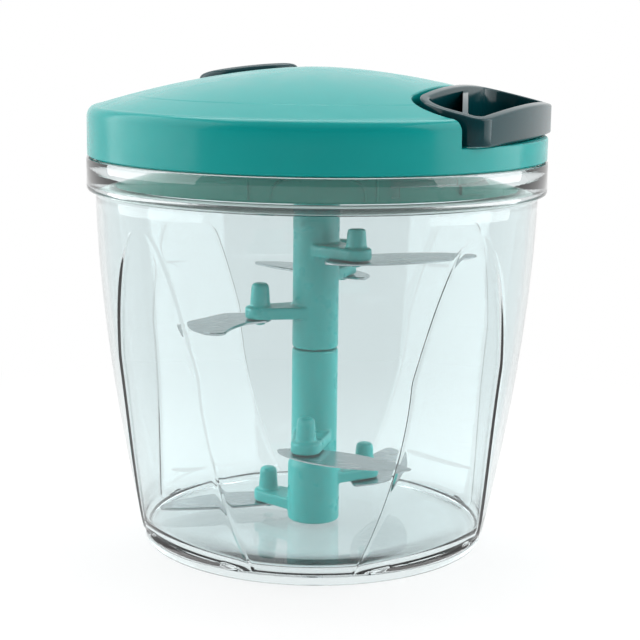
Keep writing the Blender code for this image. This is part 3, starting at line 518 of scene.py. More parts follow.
def clear_plastic(name, colour):
    """Clear plastic that bends light, with the slow waves of a moulded wall. Rays towards the lamps
    pass straight on, so that what stands inside is lit."""
    made, tree, shader = node_tree(name)
    rough = ranged(tree, noise(tree, 120), 0.0, 0.03)
    inputs = {"Base Color": (*colour, 1), "Transmission Weight": 1.0, "IOR": 1.49, "Roughness": rough}
    fill_inputs(tree, shader, inputs)
    bumped(tree, shader, noise(tree, 55, 1), 0.12, 0.05 * mm)
    tint = (*[c**0.5 for c in colour], 1)
    through = add_node(tree, "ShaderNodeBsdfTransparent", "BSDF", {"Color": tint})
    to_lamp = add_node(tree, "ShaderNodeLightPath", "Is Shadow Ray", {})
    mixed_surface(tree, to_lamp, shader.outputs["BSDF"], through)
    return made


def gloss_cover(name, colour):
    """Gloss plastic like the rest, with a ring pressed into the crown: a step in the bump's height
    where the distance from the axis passes the crease's radius."""
    made = moulded_plastic(name, colour, 0.2, grain=0.008, gloss=0.2)
    tree = made.node_tree
    span = (crease_radius, crease_radius + crease_width)
    step = ranged(tree, axis_distance(tree), 1.0, 0.0, span, "SMOOTHSTEP")
    grain = tree.nodes["Principled BSDF"].inputs["Normal"].links[0].from_node
    bumped(tree, grain, step, 1.0, crease_drop)
    return made


def braided_cord(name, colour):
    """Braided cord: crossed strands as a wave bump over a soft fibre noise."""
    made, tree, shader = node_tree(name)
    mottled(tree, shader, colour, 0.15, noise(tree, 700))
    inputs = {"Vector": object_place(tree), "Scale": 420, "Distortion": 1.5}
    strands = add_node(tree, "ShaderNodeTexWave", "Fac", inputs, bands_direction="DIAGONAL")
    bumped(tree, shader, strands, 0.8, 0.12 * mm)
    fill_inputs(tree, shader, {"Roughness": 0.85, "Sheen Weight": 0.3})
    return made


def finishes(context):
    """Every material by name, made once."""
    colours = context.scene.chopper_colours
    made = {m.name: m for m in bpy.data.materials}
    if "clear bowl plastic" not in made:
        clear_plastic("clear bowl plastic", colours.bowl)
        gloss_cover("gloss teal cover", colours.cover)
        moulded_plastic("moulded teal", colours.rotor, 0.3, spread=0.07)
        moulded_plastic("gloss petrol", colours.handle, 0.14, grain=0.01, gloss=0.2)
        moulded_plastic("moulded dark teal", colours.lid_base, 0.3, gloss=0.3)
        moulded_plastic("natural nylon", colours.nylon, 0.42, spread=0.04)
        moulded_plastic("silicone", colours.seal, 0.5, spread=0.03)
        ground_steel("ground blade steel", colours.steel, 0.24, (0.15, 1.6, 1.0))
        ground_steel("turned steel", colours.steel, 0.3, (1.0, 1.0, 6.0))
        ground_steel("spring strip steel", [c * 0.7 for c in colours.steel], 0.34, (0.3, 0.3, 3.0))
        braided_cord("braided cord", colours.cord)
        made = {m.name: m for m in bpy.data.materials}
    return made


# Bowl


def bowl_radius(sizes, height):
    """The round outer radius: neck minus a power of how far down the wall the height is."""
    below = np.clip(1 - height / collar_bottom, 0, 1)
    return sizes.neck_radius - (sizes.neck_radius - sizes.foot_radius) * below**flare_power


def facet_half_angle(height):
    """Half the angle of one facet: a square root from its arch to its waist, then a square to the
    foot."""
    down = np.clip((facet_top - height) / facet_top, 0, 1)
    arch = facet_half_angle_waist * np.minimum(1, down / facet_waist) ** 0.5
    below = np.clip((down - facet_waist) / (1 - facet_waist), 0, 1)
    return arch + (facet_half_angle_foot - facet_half_angle_waist) * below**2


def bowl_rows(sizes, height, inset):
    """Points of the faceted wall at several heights. Columns follow the facets' edges, and crowd
    towards them as a sine; a facet is the round wall cut by a flatter bow of radius
    R cos(c h) / cos(c a), where h is its half angle and c its curl. The outer wall carries a small
    ridge exp(-((a - h) / w)^2) along the facets' edges."""
    height = np.asarray(height, float)[:, None]
    half = facet_half_angle(height)
    step = 2 * np.pi / facet_count
    border = np.maximum(half, facet_border)
    wave = np.sin(np.linspace(-np.pi / 2, np.pi / 2, facet_columns, endpoint=False))[None]
    inside = border * wave
    outside = step / 2 + (step / 2 - border) * wave
    offset = np.concatenate([inside, outside], axis=1)
    radius = bowl_radius(sizes, height)
    cut = radius * np.cos(facet_curl * half) / np.cos(facet_curl * offset)
    radius = np.where(np.abs(offset) < half, np.minimum(radius, cut), radius) - inset
    if inset == 0:
        fade = np.clip((facet_top - height) / ridge_fade_top, 0, 1) * np.clip(height / ridge_fade_foot, 0, 1)
        radius = radius + facet_ridge * fade * np.exp(-(((np.abs(offset) - half) / facet_ridge_width) ** 2))
    bearing = facet_bearing + offset
    radius = np.tile(radius, (1, facet_count))
    bearing = np.concatenate([bearing + k * step for k in range(facet_count)], axis=1)
    return around(radius, bearing, height)


def round_rows(profile, like):
    """Round rows of (radius, height) whose columns line up with those of a faceted row."""
    radius, height = np.hsplit(np.asarray(profile, float), 2)
    return around(radius, np.arctan2(like[:, 1], like[:, 0]), height)


class CHOPPER_OT_bowl(bpy.types.Operator):
    """Builds the clear faceted bowl, its collar and the ramps of its twist lock"""

    bl_idname = "chopper.bowl"
    bl_label = "Clear bowl"

    def execute(self, context):
        sizes = context.scene.chopper_sizes
        clear = finishes(context)["clear bowl plastic"]
        wall_start = foot_height + 1.0 * mm
        outer_heights = np.concatenate([
            np.linspace(wall_start, facet_top * 0.9, 60),
            np.linspace(facet_top * 0.9, facet_top, 16)[1:],
            [facet_top + 2 * mm],
        ])
        outer = bowl_rows(sizes, outer_heights, 0.0)
        inner_heights = np.concatenate([
            [facet_top + 2 * mm],
            np.linspace(facet_top, facet_top * 0.9, 12),
            np.linspace(facet_top * 0.9, floor_top + floor_fillet, 44)[1:],
        ])
        inner = bowl_rows(sizes, inner_heights, sizes.bowl_wall)
        fillet = []
        for a in np.linspace(0, np.pi / 2, 8)[1:]:
            height = floor_top + floor_fillet * (1 - math.sin(a))
            fillet.append(bowl_rows(sizes, [height], sizes.bowl_wall + floor_fillet * (1 - math.cos(a))))
        foot_radius, collar = sizes.foot_radius, sizes.collar_radius
        foot = round_rows(
            (
                (0, 0),
                (foot_radius * 0.5, 0),
                (foot_radius - foot_edge, 0),
                (foot_radius - foot_edge * 0.3, foot_edge * 0.3),
                (foot_radius, foot_edge),
                (foot_radius + foot_lip, foot_height),
                (foot_radius + foot_lip - 0.3 * mm, foot_height + 0.4 * mm),
            ),
            outer[0],
        )
        collar_foot = ((-0.7, -0.15), (-0.2, 0.1), (0, 0.6), (0, 1.3), (-0.2, 1.5), (-0.2, 1.7), (0, 1.9))
        collar_profile = [
            *beside((sizes.neck_radius, collar_bottom), ((0, -1.6), (0.25, -0.7))),
            *beside((collar, collar_bottom), collar_foot),
            *beside((collar, collar_top), ((0, -0.6), (-0.15, -0.15), (-0.6, 0))),
            *beside((collar_bore, collar_top), ((0.3, 0), (0, -0.3))),
            *beside((collar_bore, ledge_height), ((0, 0.3), (-0.3, 0))),
            *beside((neck_bore, ledge_height), ((0.4, 0), (0, -0.4), (0, -2.0))),
        ]
        around_collar = round_rows(collar_profile, outer[-1])
        floor_edge = fillet[-1]
        floor_disc = floor_edge * np.array([0.5, 0.5, 1.0])
        floor_pole = floor_edge * np.array([0.0, 0.0, 1.0])
        shell = np.concatenate([foot, outer, around_collar, inner, *fillet, floor_disc, floor_pole])
        add_piece("bowl_shell", [(shell, False)], clear, "bowl", ["bowl"], crease=50)
        ramps = []
        radii = (collar_bore - ramp_depth, collar_bore - 0.02 * mm)
        for turned in lock_turns:
            start = lock_bearing + turned
            ramps.append(bent_block(radii, (start, start + ramp_arc), (ramp_top - ramp_height, ramp_top)))
            stop = [start + end for end in stop_ends]
            ramps.append(bent_block(radii, stop, (lug_top - lug_height, ramp_top - ramp_height), columns=5))
        add_piece("lock_ramps", [(ramp, False) for ramp in ramps], clear, "bowl")
        return {"FINISHED"}


# Rotor and blades


def hexagon_radius(radius, angle):
    """Distance from the centre of a hexagon to its side at an angle."""
    flat = radius * math.cos(math.pi / 6)
    return flat / np.cos((angle % (math.pi / 3)) - math.pi / 6)


def arm_end(bearing):
    """Where the stake of an arm stands in plan, for a bearing in radians."""
    return (arm_reach * math.cos(bearing), arm_reach * math.sin(bearing), 0)


def arm_patches(bearing, height):
    """One arm: a plate that narrows to a round end, a tapered peg on it and the stake below it."""
    bearing = math.radians(bearing)
    tip = np.linspace(-np.pi / 2, np.pi / 2, 17)
    x = np.concatenate([[0.0], arm_reach + arm_tip_radius * np.cos(tip), [0.0]])
    y = np.concatenate([[-arm_root_width / 2], arm_tip_radius * np.sin(tip), [arm_root_width / 2]])
    plate = slab(np.stack([x, y], 1), height, height + arm_thickness, 0.5 * mm)
    top = height + arm_thickness + peg_height
    peg_profile = (
        (0, height - 0.2 * mm),
        (peg_radius * 1.12, height),
        (peg_radius * 1.1, height + arm_thickness),
        (peg_radius * 0.94, top - 0.8 * mm),
        (peg_radius * 0.7, top),
        (0, top),
    )
    stake_profile = (
        (0, height),
        (stake_radius, height),
        (stake_radius * 1.25, height - 1.9 * mm),
        (0, height - 2.1 * mm),
    )
    peg = turn(eased(peg_profile, 0.5 * mm), 24)
    stake = turn(eased(stake_profile, 0.3 * mm), 20)
    round_parts = [(moved(patch, 0, arm_end(bearing)), True) for patch in (peg, stake)]
    return [(moved(plate, bearing, (0, 0, 0)), False), *round_parts]


def cast_together(obj):
    """Fuses overlapping patches into one moulded body with small fillets where they meet."""
    fuse = obj.modifiers.new("Fuse", "REMESH")
    fuse.mode = "VOXEL"
    fuse.voxel_size = fuse_voxel
    fuse.use_smooth_shade = True
    relax = obj.modifiers.new("Relax", "SMOOTH")
    relax.factor = 0.5
    relax.iterations = 4


class CHOPPER_OT_rotor(bpy.types.Operator):
    """Builds the two stacked sections of the rotor with their arms and pegs"""

    bl_idname = "chopper.rotor"
    bl_label = "Rotor"

    def execute(self, context):
        teal = finishes(context)["moulded teal"]
        ease = context.scene.chopper_sizes.edge_ease
        lower_profile = (
            (0, rotor_bottom),
            (root_radius, rotor_bottom),
            (root_radius, root_height),
            (rotor_radius, root_height + 1.2 * mm),
            (rotor_radius, section_seam),
            (0, section_seam),
        )
        seam = section_seam + seam_gap
        upper_profile = (
            (0, seam),
            (rotor_radius - ease, seam),
            (rotor_radius, seam + ease),
            (rotor_radius, rotor_top - ease),
            (rotor_radius - ease, rotor_top),
        )
        angle = full_turn(96)
        bore = hexagon_radius(socket_radius, angle)
        socket_floor = rotor_top - socket_depth
        socket_steps = (
            (bore + 0.3 * mm, rotor_top),
            (bore, rotor_top - 0.4 * mm),
            (bore, socket_floor),
            (bore * 0, socket_floor),
        )
        socket = [around(radius, angle, height) for radius, height in socket_steps]
        lower_shaft = (turn(eased(lower_profile, ease), 96), True)
        upper_shaft = (np.concatenate([turn(upper_profile, 96), np.array(socket)]), False)
        sections = {"rotor_lower": (lower_shaft, lower_arms), "rotor_upper": (upper_shaft, upper_arms)}
        for name, (shaft, places) in sections.items():
            patches = [shaft, *(patch for place in places for patch in arm_patches(*place))]
            cast_together(add_piece(f"{name}_body", patches, teal, "rotor", [name]))
        return {"FINISHED"}


def blade_edges(reach, edge, back, fullness):
    """The two sides of a blade against its length. Both bow as sin(pi s^0.85)^p, where s runs from
    heel to tip and p is the fullness. The hooked blade is broad and ends round, and its back is a
    lobe round the stake, exp(-((s - 0.26) / 0.14)^2) / 2, plus a corner near the tip, 1.35 s^4."""
    share = (1 - np.cos(np.linspace(0, np.pi, blade_stations))) / 2
    along = -blade_heel + (reach + blade_heel) * share
    if fullness is not None:
        bow = np.clip(np.sin(np.pi * share**0.85), 0, 1) ** fullness
        return along, -edge * bow, back * bow
    end = np.sqrt(1 - np.clip((share - 0.7) / 0.3, 0, 1) ** 2)
    tip = np.sqrt(1 - np.clip((share - 0.85) / 0.15, 0, 1) ** 2)
    lobe = np.exp(-(((share - 0.26) / 0.14) ** 2))
    cutting = -edge * np.sin(np.pi / 2 * np.minimum(1, share / 0.3)) ** 0.8 * end
    behind = back * (0.5 * lobe * np.minimum(1, share / 0.05) + 1.35 * share**4) * tip
    return along, cutting, behind


def blade_patch(shape, top):
    """A blade as closed sections along its length. A section is a flat plate whose cutting side is
    ground to half its thickness over `ground_width`, and it thins where the blade narrows."""
    reach, edge, back, fullness = shape[1:]
    along, cutting, behind = blade_edges(reach, edge, back, fullness)
    width = behind - cutting
    ground = np.minimum(ground_width, 0.45 * width)
    relief = np.minimum(0.25 * mm, 0.1 * width)
    depth = blade_thickness * np.clip(width / (2 * mm), 0.25, 1)
    flat_top = np.full_like(along, top)
    across = [cutting, cutting + ground, behind - relief, behind, behind, behind - relief, cutting]
    drop = [0.5, 1.0, 1.0, 0.75, 0.25, 0.0, 0.0]
    sides = [np.stack([along, a, flat_top - depth * share], -1) for a, share in zip(across, drop)]
    return np.stack(sides, axis=1)


class CHOPPER_OT_blades(bpy.types.Operator):
    """Builds the six ground blades under the rotor's arms"""

    bl_idname = "chopper.blades"
    bl_label = "Blades"

    def execute(self, context):
        steel = finishes(context)["ground blade steel"]
        for k, ((bearing, height), shape) in enumerate(zip(upper_arms + lower_arms, blade_shapes)):
            patch = blade_patch(shape, height - blade_gap)
            patch = moved(patch, math.radians(shape[0]), arm_end(math.radians(bearing)))
            name = f"blade_{k + 1}"
            add_piece(f"{name}_ground", [(patch, False)], steel, "rotor", [name], 25)
        return {"FINISHED"}


# Lid


def crown_height(sizes, radius):
    """Height of the cover's crown: it falls as a power of the radius."""
    edge_radius = sizes.lid_radius - shoulder_inset
    fall = lid_top - (lid_bottom + shoulder_height + shoulder_rise) + crease_drop
    return lid_top - fall * np.clip(radius / edge_radius, 0, 1) ** crown_power


def cover_outline(rim, grow):
    """The cover's edge in plan, u along the pull, from the middle of the recess's inner side all
    the way round. Beside each point stand the start of its column, on a spine across the crown,
    and its foot on the rim. One half is the inner side, the corner's arc, the flank, the rim beside
    the recess and the rim behind it, and the other is its mirror image."""
    side, width, radius = recess_side - grow, recess_half_width + grow, recess_corner_radius + grow
    middle_u, middle_v = side + radius, width - radius
    share = [np.linspace(0, 1, count, endpoint=False) for count in edge_columns]
    knots = np.cumsum([0, *edge_columns])
    front = knots[-1]
    arc = share[1] * np.pi / 2
    flank_end = math.sqrt(rim**2 - width**2)
    first = math.asin(width / rim)
    beside = first + (spine_bearing - first) * share[3]
    behind = spine_bearing + (math.pi - spine_bearing) * np.arange(front) / front
    edge = np.concatenate([
        np.stack([np.full_like(share[0], side), middle_v * share[0]], 1),
        np.stack([middle_u - radius * np.cos(arc), middle_v + radius * np.sin(arc)], 1),
        np.stack([middle_u + (flank_end - middle_u) * share[2], np.full_like(share[2], width)], 1),
        *(np.stack([rim * np.cos(bearing), rim * np.sin(bearing)], 1) for bearing in (beside, behind)),
        [[-rim, 0]],
    ])
    index = np.arange(front)
    spine_v = np.interp(index, knots, spine_ends)
    foot_v = np.interp(index, knots[:4], np.array(foot_shares) * width)
    foot = np.stack([np.sqrt(rim**2 - foot_v**2), foot_v], 1)
    foot = np.concatenate([foot[: knots[3]], edge[knots[3] :]])
    spine_v = np.concatenate([spine_v, [spine_reach], spine_v[:0:-1], [0]])
    spine = np.stack([np.full_like(spine_v, spine_place), spine_v], 1)
    return [np.concatenate([half, half[-2:0:-1] * mirrored]) for half in (spine, edge, foot)]


def cover_sheet(sizes, inset, grow, floor, ease):
    """One face of the cover, as rows from a spine across the crown down to the rim's foot. Each
    column runs straight over the crown to the rim's shoulder or to the recess's edge, down to the
    ledge's height, out over the ledge, and down the rim. Beside the recess the ledge has no width."""
    rim = sizes.lid_radius - inset
    edge_radius = sizes.lid_radius - shoulder_inset
    shoulder = lid_bottom + shoulder_height
    spine, edge, foot = cover_outline(rim, grow)
    away = edge - spine
    length = np.hypot(*away.T)
    depth = np.clip(np.hypot(*(foot - edge).T) / (1.5 * mm), 0, 1)

    def crown(plan):
        """Crown, then the shoulder as a quarter ellipse, over points in plan."""
        radius = np.hypot(*plan.T)
        outer = np.clip((radius + inset - edge_radius) / shoulder_inset, 0, 1)
        round_off = shoulder + shoulder_rise * np.sqrt(np.clip(1 - outer**2, 0, 1)) - crease_drop
        over = crown_height(sizes, np.minimum(radius + inset * radius / rim, edge_radius))
        return np.where(radius + inset > edge_radius, round_off, over) - inset

    along, start = (away * spine).sum(1), (spine**2).sum(1) - (edge_radius - inset) ** 2
    reach = (np.sqrt(along**2 - length**2 * start) - along) / length**2
    brink = 1 - ease * depth / length
    level = np.minimum(brink, reach)
    spread = [level * share for share in np.linspace(0, 1, 30)]
    spread += [level + (brink - level) * share for share in np.sin(np.linspace(0, np.pi / 2, 10))[1:]]
    plans = [spine + away * share[:, None] for share in spread]
    rows = [(plan, crown(plan)) for plan in plans]
    top = rows[-1][1]
    for turned in np.linspace(0, np.pi / 2, 6)[1:]:
        plan = spine + away * (brink + (1 - brink) * np.sin(turned))[:, None]
        rows.append((plan, top - ease * depth * (1 - np.cos(turned))))
    top = rows[-1][1]
    for share in np.linspace(0, 1, 6)[1:]:
        rows.append((edge, top + (floor - top) * np.where(depth > 0, share, 0)))
    outward = foot / np.hypot(*foot.T)[:, None]
    lip = foot - outward * (ease * depth)[:, None]
    level = np.where(depth > 0, floor, rows[-1][1])
    for share in np.linspace(0, 1, 6)[1:]:
        rows.append((edge + (lip - edge) * share, level))
    for turned in np.linspace(0, np.pi / 2, 5)[1:]:
        plan = foot - outward * (ease * depth * (1 - np.sin(turned)))[:, None]
        rows.append((plan, level - ease * depth * (1 - np.cos(turned))))
    bottom = lid_bottom + (rim_chamfer if inset == 0 else 0)
    last = rows[-1][1]
    for share in np.linspace(0, 1, 4)[1:]:
        rows.append((foot, last * (1 - share) + bottom * share))
    return np.stack([lifted(plan, height) for plan, height in rows])


class CHOPPER_OT_cover(bpy.types.Operator):
    """Builds the gloss domed cover with the recess for the handle"""

    bl_idname = "chopper.cover"
    bl_label = "Lid cover"

    def execute(self, context):
        sizes = context.scene.chopper_sizes
        gloss = finishes(context)["gloss teal cover"]
        outer = cover_sheet(sizes, 0.0, 0.0, recess_floor, sizes.edge_ease)
        inner = cover_sheet(sizes, cover_wall, recess_wall, recess_floor - recess_wall, sizes.edge_ease)
        drawn_in = 1 - rim_chamfer / sizes.lid_radius
        rim_foot = outer[-1] * np.array([1, 1, 0]) * drawn_in + np.array([0, 0, lid_bottom])
        shell = np.concatenate([outer, rim_foot[None], inner[::-1]])
        add_piece("cover_shell", [(shell, False)], gloss, "lid", ["lid_cover"], crease=32)
        return {"FINISHED"}


def arch_path(bearings, low, high, corner, run):
    """A path on the skirt: up one side, over a flat top with quarter ellipses for corners, which
    take `corner` of the height and `run` of the bearing, and down the other side."""
    left, right = bearings
    bend = np.linspace(0, np.pi / 2, 12)
    bearing = np.concatenate([
        [left, left],
        left + run * (1 - np.cos(bend)),
        np.linspace(left + run, right - run, 30)[1:-1],
        right - run * (1 - np.sin(bend)),
        [right, right],
    ])
    height = np.concatenate([
        [low, (low + high - corner) / 2],
        high - corner * (1 - np.sin(bend)),
        np.full(28, high),
        high - corner * (1 - np.cos(bend)),
        [(low + high - corner) / 2, low],
    ])
    return around(skirt_radius, bearing, height)


class CHOPPER_OT_lid_base(bpy.types.Operator):
    """Builds the lower shell of the lid: plate, skirt, lock lugs and the ribs on the skirt"""

    bl_idname = "chopper.lid_base"
    bl_label = "Lid lower shell"

    def execute(self, context):
        teal = finishes(context)["moulded dark teal"]
        inner = skirt_radius - skirt_wall
        top = lid_bottom + upstand
        profile = (
            (skirt_radius, top),
            (skirt_radius, skirt_bottom),
            (inner, skirt_bottom),
            (inner, plate_bottom),
            (axle_bore, plate_bottom),
            (axle_bore, plate_top),
            (inner, plate_top),
            (inner, top),
        )
        patches = [(turn(eased(profile, 0.4 * mm), 220), True)]
        lug_radii = (skirt_radius - 0.3 * mm, skirt_radius + ramp_depth)
        for turned in lock_turns:
            start = lock_bearing + ramp_arc + lug_gap + turned
            lug = bent_block(lug_radii, (start, start + lug_arc), (lug_top - lug_height, lug_top))
            patches.append((lug, False))
        for turned in lock_turns:
            ends = [math.radians(bearing) + turned for bearing in arch_bearings]
            paths = [arch_path(ends, rib_foot, arch_top, arch_corner, arch_corner_run)]
            for bearing in rib_bearings:
                spot = np.full(8, math.radians(bearing) + turned)
                paths.append(around(skirt_radius, spot, np.linspace(rib_foot, rib_top, 8)))
            patches += [(tube(path, rib_radius, 10), False) for path in paths]
        add_piece("lid_base_shell", patches, teal, "lid", ["lid_base"])
        return {"FINISHED"}


class CHOPPER_OT_seal(bpy.types.Operator):
    """Builds the soft ring on the bowl's ledge"""

    bl_idname = "chopper.seal"
    bl_label = "Seal ring"

    def execute(self, context):
        low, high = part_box("seal_ring")
        outer, inner = high.x, skirt_radius - skirt_wall
        profile = eased([(inner, low.z), (outer, low.z), (outer, high.z), (inner, high.z)], 0.5 * mm, 7)
        silicone = finishes(context)["silicone"]
        add_piece("seal_lip", [(turn(profile, 200), True)], silicone, "seal", ["seal_ring"])
        return {"FINISHED"}


def pad_frame(sizes):
    """The place and the axes of the thumb pad: along X, across, and along the crown's normal."""
    radius = math.hypot(*pad_place)
    here = float(crown_height(sizes, radius))
    step = 0.5 * mm
    slope = (here - float(crown_height(sizes, radius + step))) / step
    out = Vector((*pad_place, 0)).normalized()
    normal = (Vector((0, 0, 1)) + out * slope).normalized()
    along = (Vector((1, 0, 0)) - normal * normal.x).normalized()
    return Vector((*pad_place, here)), along, normal.cross(along), normal


class CHOPPER_OT_pad(bpy.types.Operator):
    """Builds the oval thumb pad on the crown"""

    bl_idname = "chopper.pad"
    bl_label = "Thumb pad"

    def execute(self, context):
        sizes = context.scene.chopper_sizes
        place, along, across, normal = (np.array(v) for v in pad_frame(sizes))
        angle = full_turn(120)[:, None]
        share = np.array([0.0, 0.2, 0.4, 0.6, 0.75, 0.86, 0.93, 0.97, 0.99, 1.0, 1.0, 1.0, 0.0])
        bow = sizes.pad_rise * np.clip(1 - share**14, 0, 1) ** 0.5 * (0.88 + 0.12 * (1 - share**2))
        bow[-3:] = (-0.2 * mm, -pad_sink, -pad_sink)
        oval = along * np.cos(angle) * sizes.pad_length / 2 + across * np.sin(angle) * sizes.pad_width / 2
        patch = place + oval[None] * share[:, None, None] + normal * bow[:, None, None]
        dark = finishes(context)["gloss petrol"]
        add_piece("thumb_pad_cap", [(patch, False)], dark, "lid", ["thumb_pad"])
        return {"FINISHED"}


# Handle and cord


def handle_path(grow):
    """The handle's plan offset by `grow`, u outward along the pull and v across it: outer corner,
    bowed side, corner, flank, inner corner, inner side, inner corner and flank, in fixed counts."""
    corner_u = handle_corner_reach - handle_corner_radius
    corner_v = handle_half_width - handle_corner_radius
    inner_u, inner_v = handle_side + handle_inner_radius, handle_half_width - handle_inner_radius
    bow = handle_side_radius - handle_corner_radius
    side_angle = math.asin(corner_v / bow)
    side_u = corner_u - bow * math.cos(side_angle)

    def arc(u, v, radius, start, end, count):
        angle = np.linspace(start, end, count)
        return np.stack([u + radius * np.cos(angle), v + radius * np.sin(angle)], 1)

    def line(start, end):
        share = np.linspace(0, 1, 40)[1:-1, None]
        return start * (1 - share) + end * share

    corner = arc(corner_u, corner_v, handle_corner_radius + grow, math.pi / 2, side_angle, 20)
    side = arc(side_u, 0, handle_side_radius + grow, side_angle, -side_angle, 62)[1:-1]
    near_corner = corner[::-1] * mirrored
    inner = arc(inner_u, -inner_v, handle_inner_radius + grow, -math.pi / 2, -math.pi, 26)
    far_inner = inner[::-1] * mirrored
    back, forth = line(near_corner[-1], inner[0]), line(far_inner[-1], corner[0])
    across = line(inner[-1], far_inner[0])
    return np.concatenate([corner, side, near_corner, back, inner, across, far_inner, forth])


def to_world(uv):
    """Turns points in plan from the handle's axes, u along the pull, to the world's."""
    c, s = math.cos(pull_bearing), math.sin(pull_bearing)
    return np.stack([uv[..., 0] * c - uv[..., 1] * s, uv[..., 0] * s + uv[..., 1] * c], -1)


def lifted(uv, height):
    return np.concatenate([to_world(uv), height[..., None]], -1)


def handle_top(uv):
    """Height of the handle's top face: a shallow bowl turned over the axis, leaning to the front."""
    return handle_crown - (uv**2).sum(-1) / (2 * handle_crown_radius) + handle_lean * to_world(uv)[..., 1]


class CHOPPER_OT_handle(bpy.types.Operator):
    """Builds the ring handle with its finger opening and its partition"""

    bl_idname = "chopper.handle"
    bl_label = "Pull handle"

    def execute(self, context):
        dark = finishes(context)["gloss petrol"]
        quarter = np.linspace(0, np.pi / 2, 6)
        rise, draw = handle_ease * (1 - np.cos(quarter)), handle_ease * (1 - np.sin(quarter))
        depth = np.concatenate([draw, draw[::-1], handle_wall - draw, handle_wall - draw[::-1]])
        from_top = np.repeat([0, 1, 1, 0], len(quarter))
        offset = np.concatenate([rise, rise[::-1], rise, rise[::-1]])
        rows = []
        for d, t, o in zip(depth, from_top, offset):
            uv = handle_path(-d)
            rows.append(lifted(uv, handle_top(uv) - o if t else np.full(len(uv), handle_base + o)))
        ring = np.array(rows)
        half = partition_wall / 2
        near, far = np.array(partition_near), np.array(partition_far)
        heading = (far - near) / np.linalg.norm(far - near)
        square = np.array([-heading[1], heading[0]])
        share = np.concatenate([[0, 0], np.linspace(0, 1, 30), [1, 1]])
        size = np.concatenate([[0, 1], np.ones(30), [1, 0]])
        section = eased([(-half, -1), (half, -1), (half, 1), (-half, 1)], 0.5 * mm, 5)
        across = section[None, :, 0] * size[:, None]
        uv = (near + (far - near) * share[:, None])[:, None] + across[..., None] * square
        top = handle_top(uv) - partition_drop
        middle = (top + handle_base) / 2
        level = section[None, :, 1] * size[:, None]
        height = middle + (top - middle) * np.clip(level, -1, 1)
        patches = [(ring, True), (lifted(uv, height), False)]
        add_piece("handle_ring", patches, dark, "handle", ["pull_handle"], crease=40)
        return {"FINISHED"}


class CHOPPER_OT_cord(bpy.types.Operator):
    """Builds the cord between the lid and the handle, its knot and its eyelet"""

    bl_idname = "chopper.cord"
    bl_label = "Pull cord"

    def execute(self, context):
        cord, nylon = (finishes(context)[name] for name in ("braided cord", "natural nylon"))
        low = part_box("cord_run")[0]
        pull = np.array([math.cos(pull_bearing), math.sin(pull_bearing), 0.0])
        level = np.array([0, 0, pull_height])
        reach = np.linspace(low.x / pull[0] + 0.6 * mm, knot_reach - 1.2 * mm, 60)
        path = reach[:, None] * pull + level
        stretch = tube(path, context.scene.chopper_sizes.cord_radius)
        piece = add_piece("cord_stretch", [(stretch, False)], cord, None, ["cord_run"])
        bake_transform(piece)
        turned = np.linspace(0, np.pi, 26)
        lumps = 1 + 0.12 * np.sin(3 * turned) ** 2
        ball = np.stack([knot_radius * np.sin(turned) * lumps, knot_radius * np.cos(turned) * 0.85], 1)
        knot = turn(ball, 40)[..., [2, 1, 0]] * np.array([-1, 1, 1])
        knot = moved(knot, pull_bearing, knot_reach * pull + level)
        add_piece("cord_stopper", [(knot, False)], cord, "handle", ["cord_knot"])
        bore, edge, lip = eyelet_bore, eyelet_radius, eyelet_lip
        section = eased([(bore, -lip), (edge, -lip), (edge, lip), (bore, lip)], 0.25 * mm)
        eyelet = moved(turn(section, 40)[..., [2, 1, 0]], pull_bearing, recess_side * pull + level)
        add_piece("cord_eyelet", [(eyelet, True)], nylon, "lid")
        return {"FINISHED"}


class CHOPPER_OT_inner_pieces(bpy.types.Operator):
    """Gives the CAD pieces that stay their materials"""

    bl_idname = "chopper.inner_pieces"
    bl_label = "Inner pieces"

    def execute(self, context):
        made = finishes(context)
        chosen = {
            "turned steel": ["pivot_pin", "lid_axle", "retainer_washer", "axle_screw"]
            + [f"lid_screw_{k}" for k in range(1, 5)],
            "spring strip steel": ["recoil_spring"],
            "natural nylon": ["cord_guide", "drive_coupler"],
            "moulded teal": ["spool", "spring_cup"],
            "braided cord": ["cord_lead", "cord_winding"],
        }
        for finish, names in chosen.items():
            for name in names:
                mesh = nodes[name].data
                mesh.materials.clear()
                mesh.materials.append(made[finish])
        return {"FINISHED"}


# Stage


def area_light(name, place, size, power):
    """A rectangular lamp turned to the chopper."""
    data = bpy.data.lights.new(name, "AREA")
    data.shape = "RECTANGLE"
    data.size, data.size_y = size
    data.energy = power
    lamp = bpy.data.objects.new(name, data)
    lamp.location = place
    lamp.rotation_euler = (Vector(lamp_target) - Vector(place)).to_track_quat("-Z", "Y").to_euler()
    bpy.context.scene.collection.objects.link(lamp)


def larger(tree, one, other):
    return add_node(tree, "ShaderNodeMath", "Value", {0: one, 1: other}, operation="MAXIMUM")


def seen_directly(tree):
    """1 for a ray from the camera, off a gloss or through something clear, and else 0."""
    path = tree.nodes.new("ShaderNodeLightPath")
    reflected = larger(tree, path.outputs["Is Glossy Ray"], path.outputs["Is Transmission Ray"])
    return larger(tree, path.outputs["Is Camera Ray"], reflected)


def pale_floor(name, colour):
    """Matt floor that glows where it is seen directly, less near the chopper than further out."""
    made, tree, shader = node_tree(name)
    fill_inputs(tree, shader, {"Base Color": (*colour, 1), "Roughness": 0.9})
    glow = add_node(tree, "ShaderNodeEmission", "Emission", {})
    fade = ranged(tree, axis_distance(tree), floor_glow, 1.0, floor_glow_span, "SMOOTHSTEP")
    share = add_node(tree, "ShaderNodeMath", "Value", {0: seen_directly(tree), 1: fade}, operation="MULTIPLY")
    mixed_surface(tree, share, shader.outputs["BSDF"], glow)
    return made


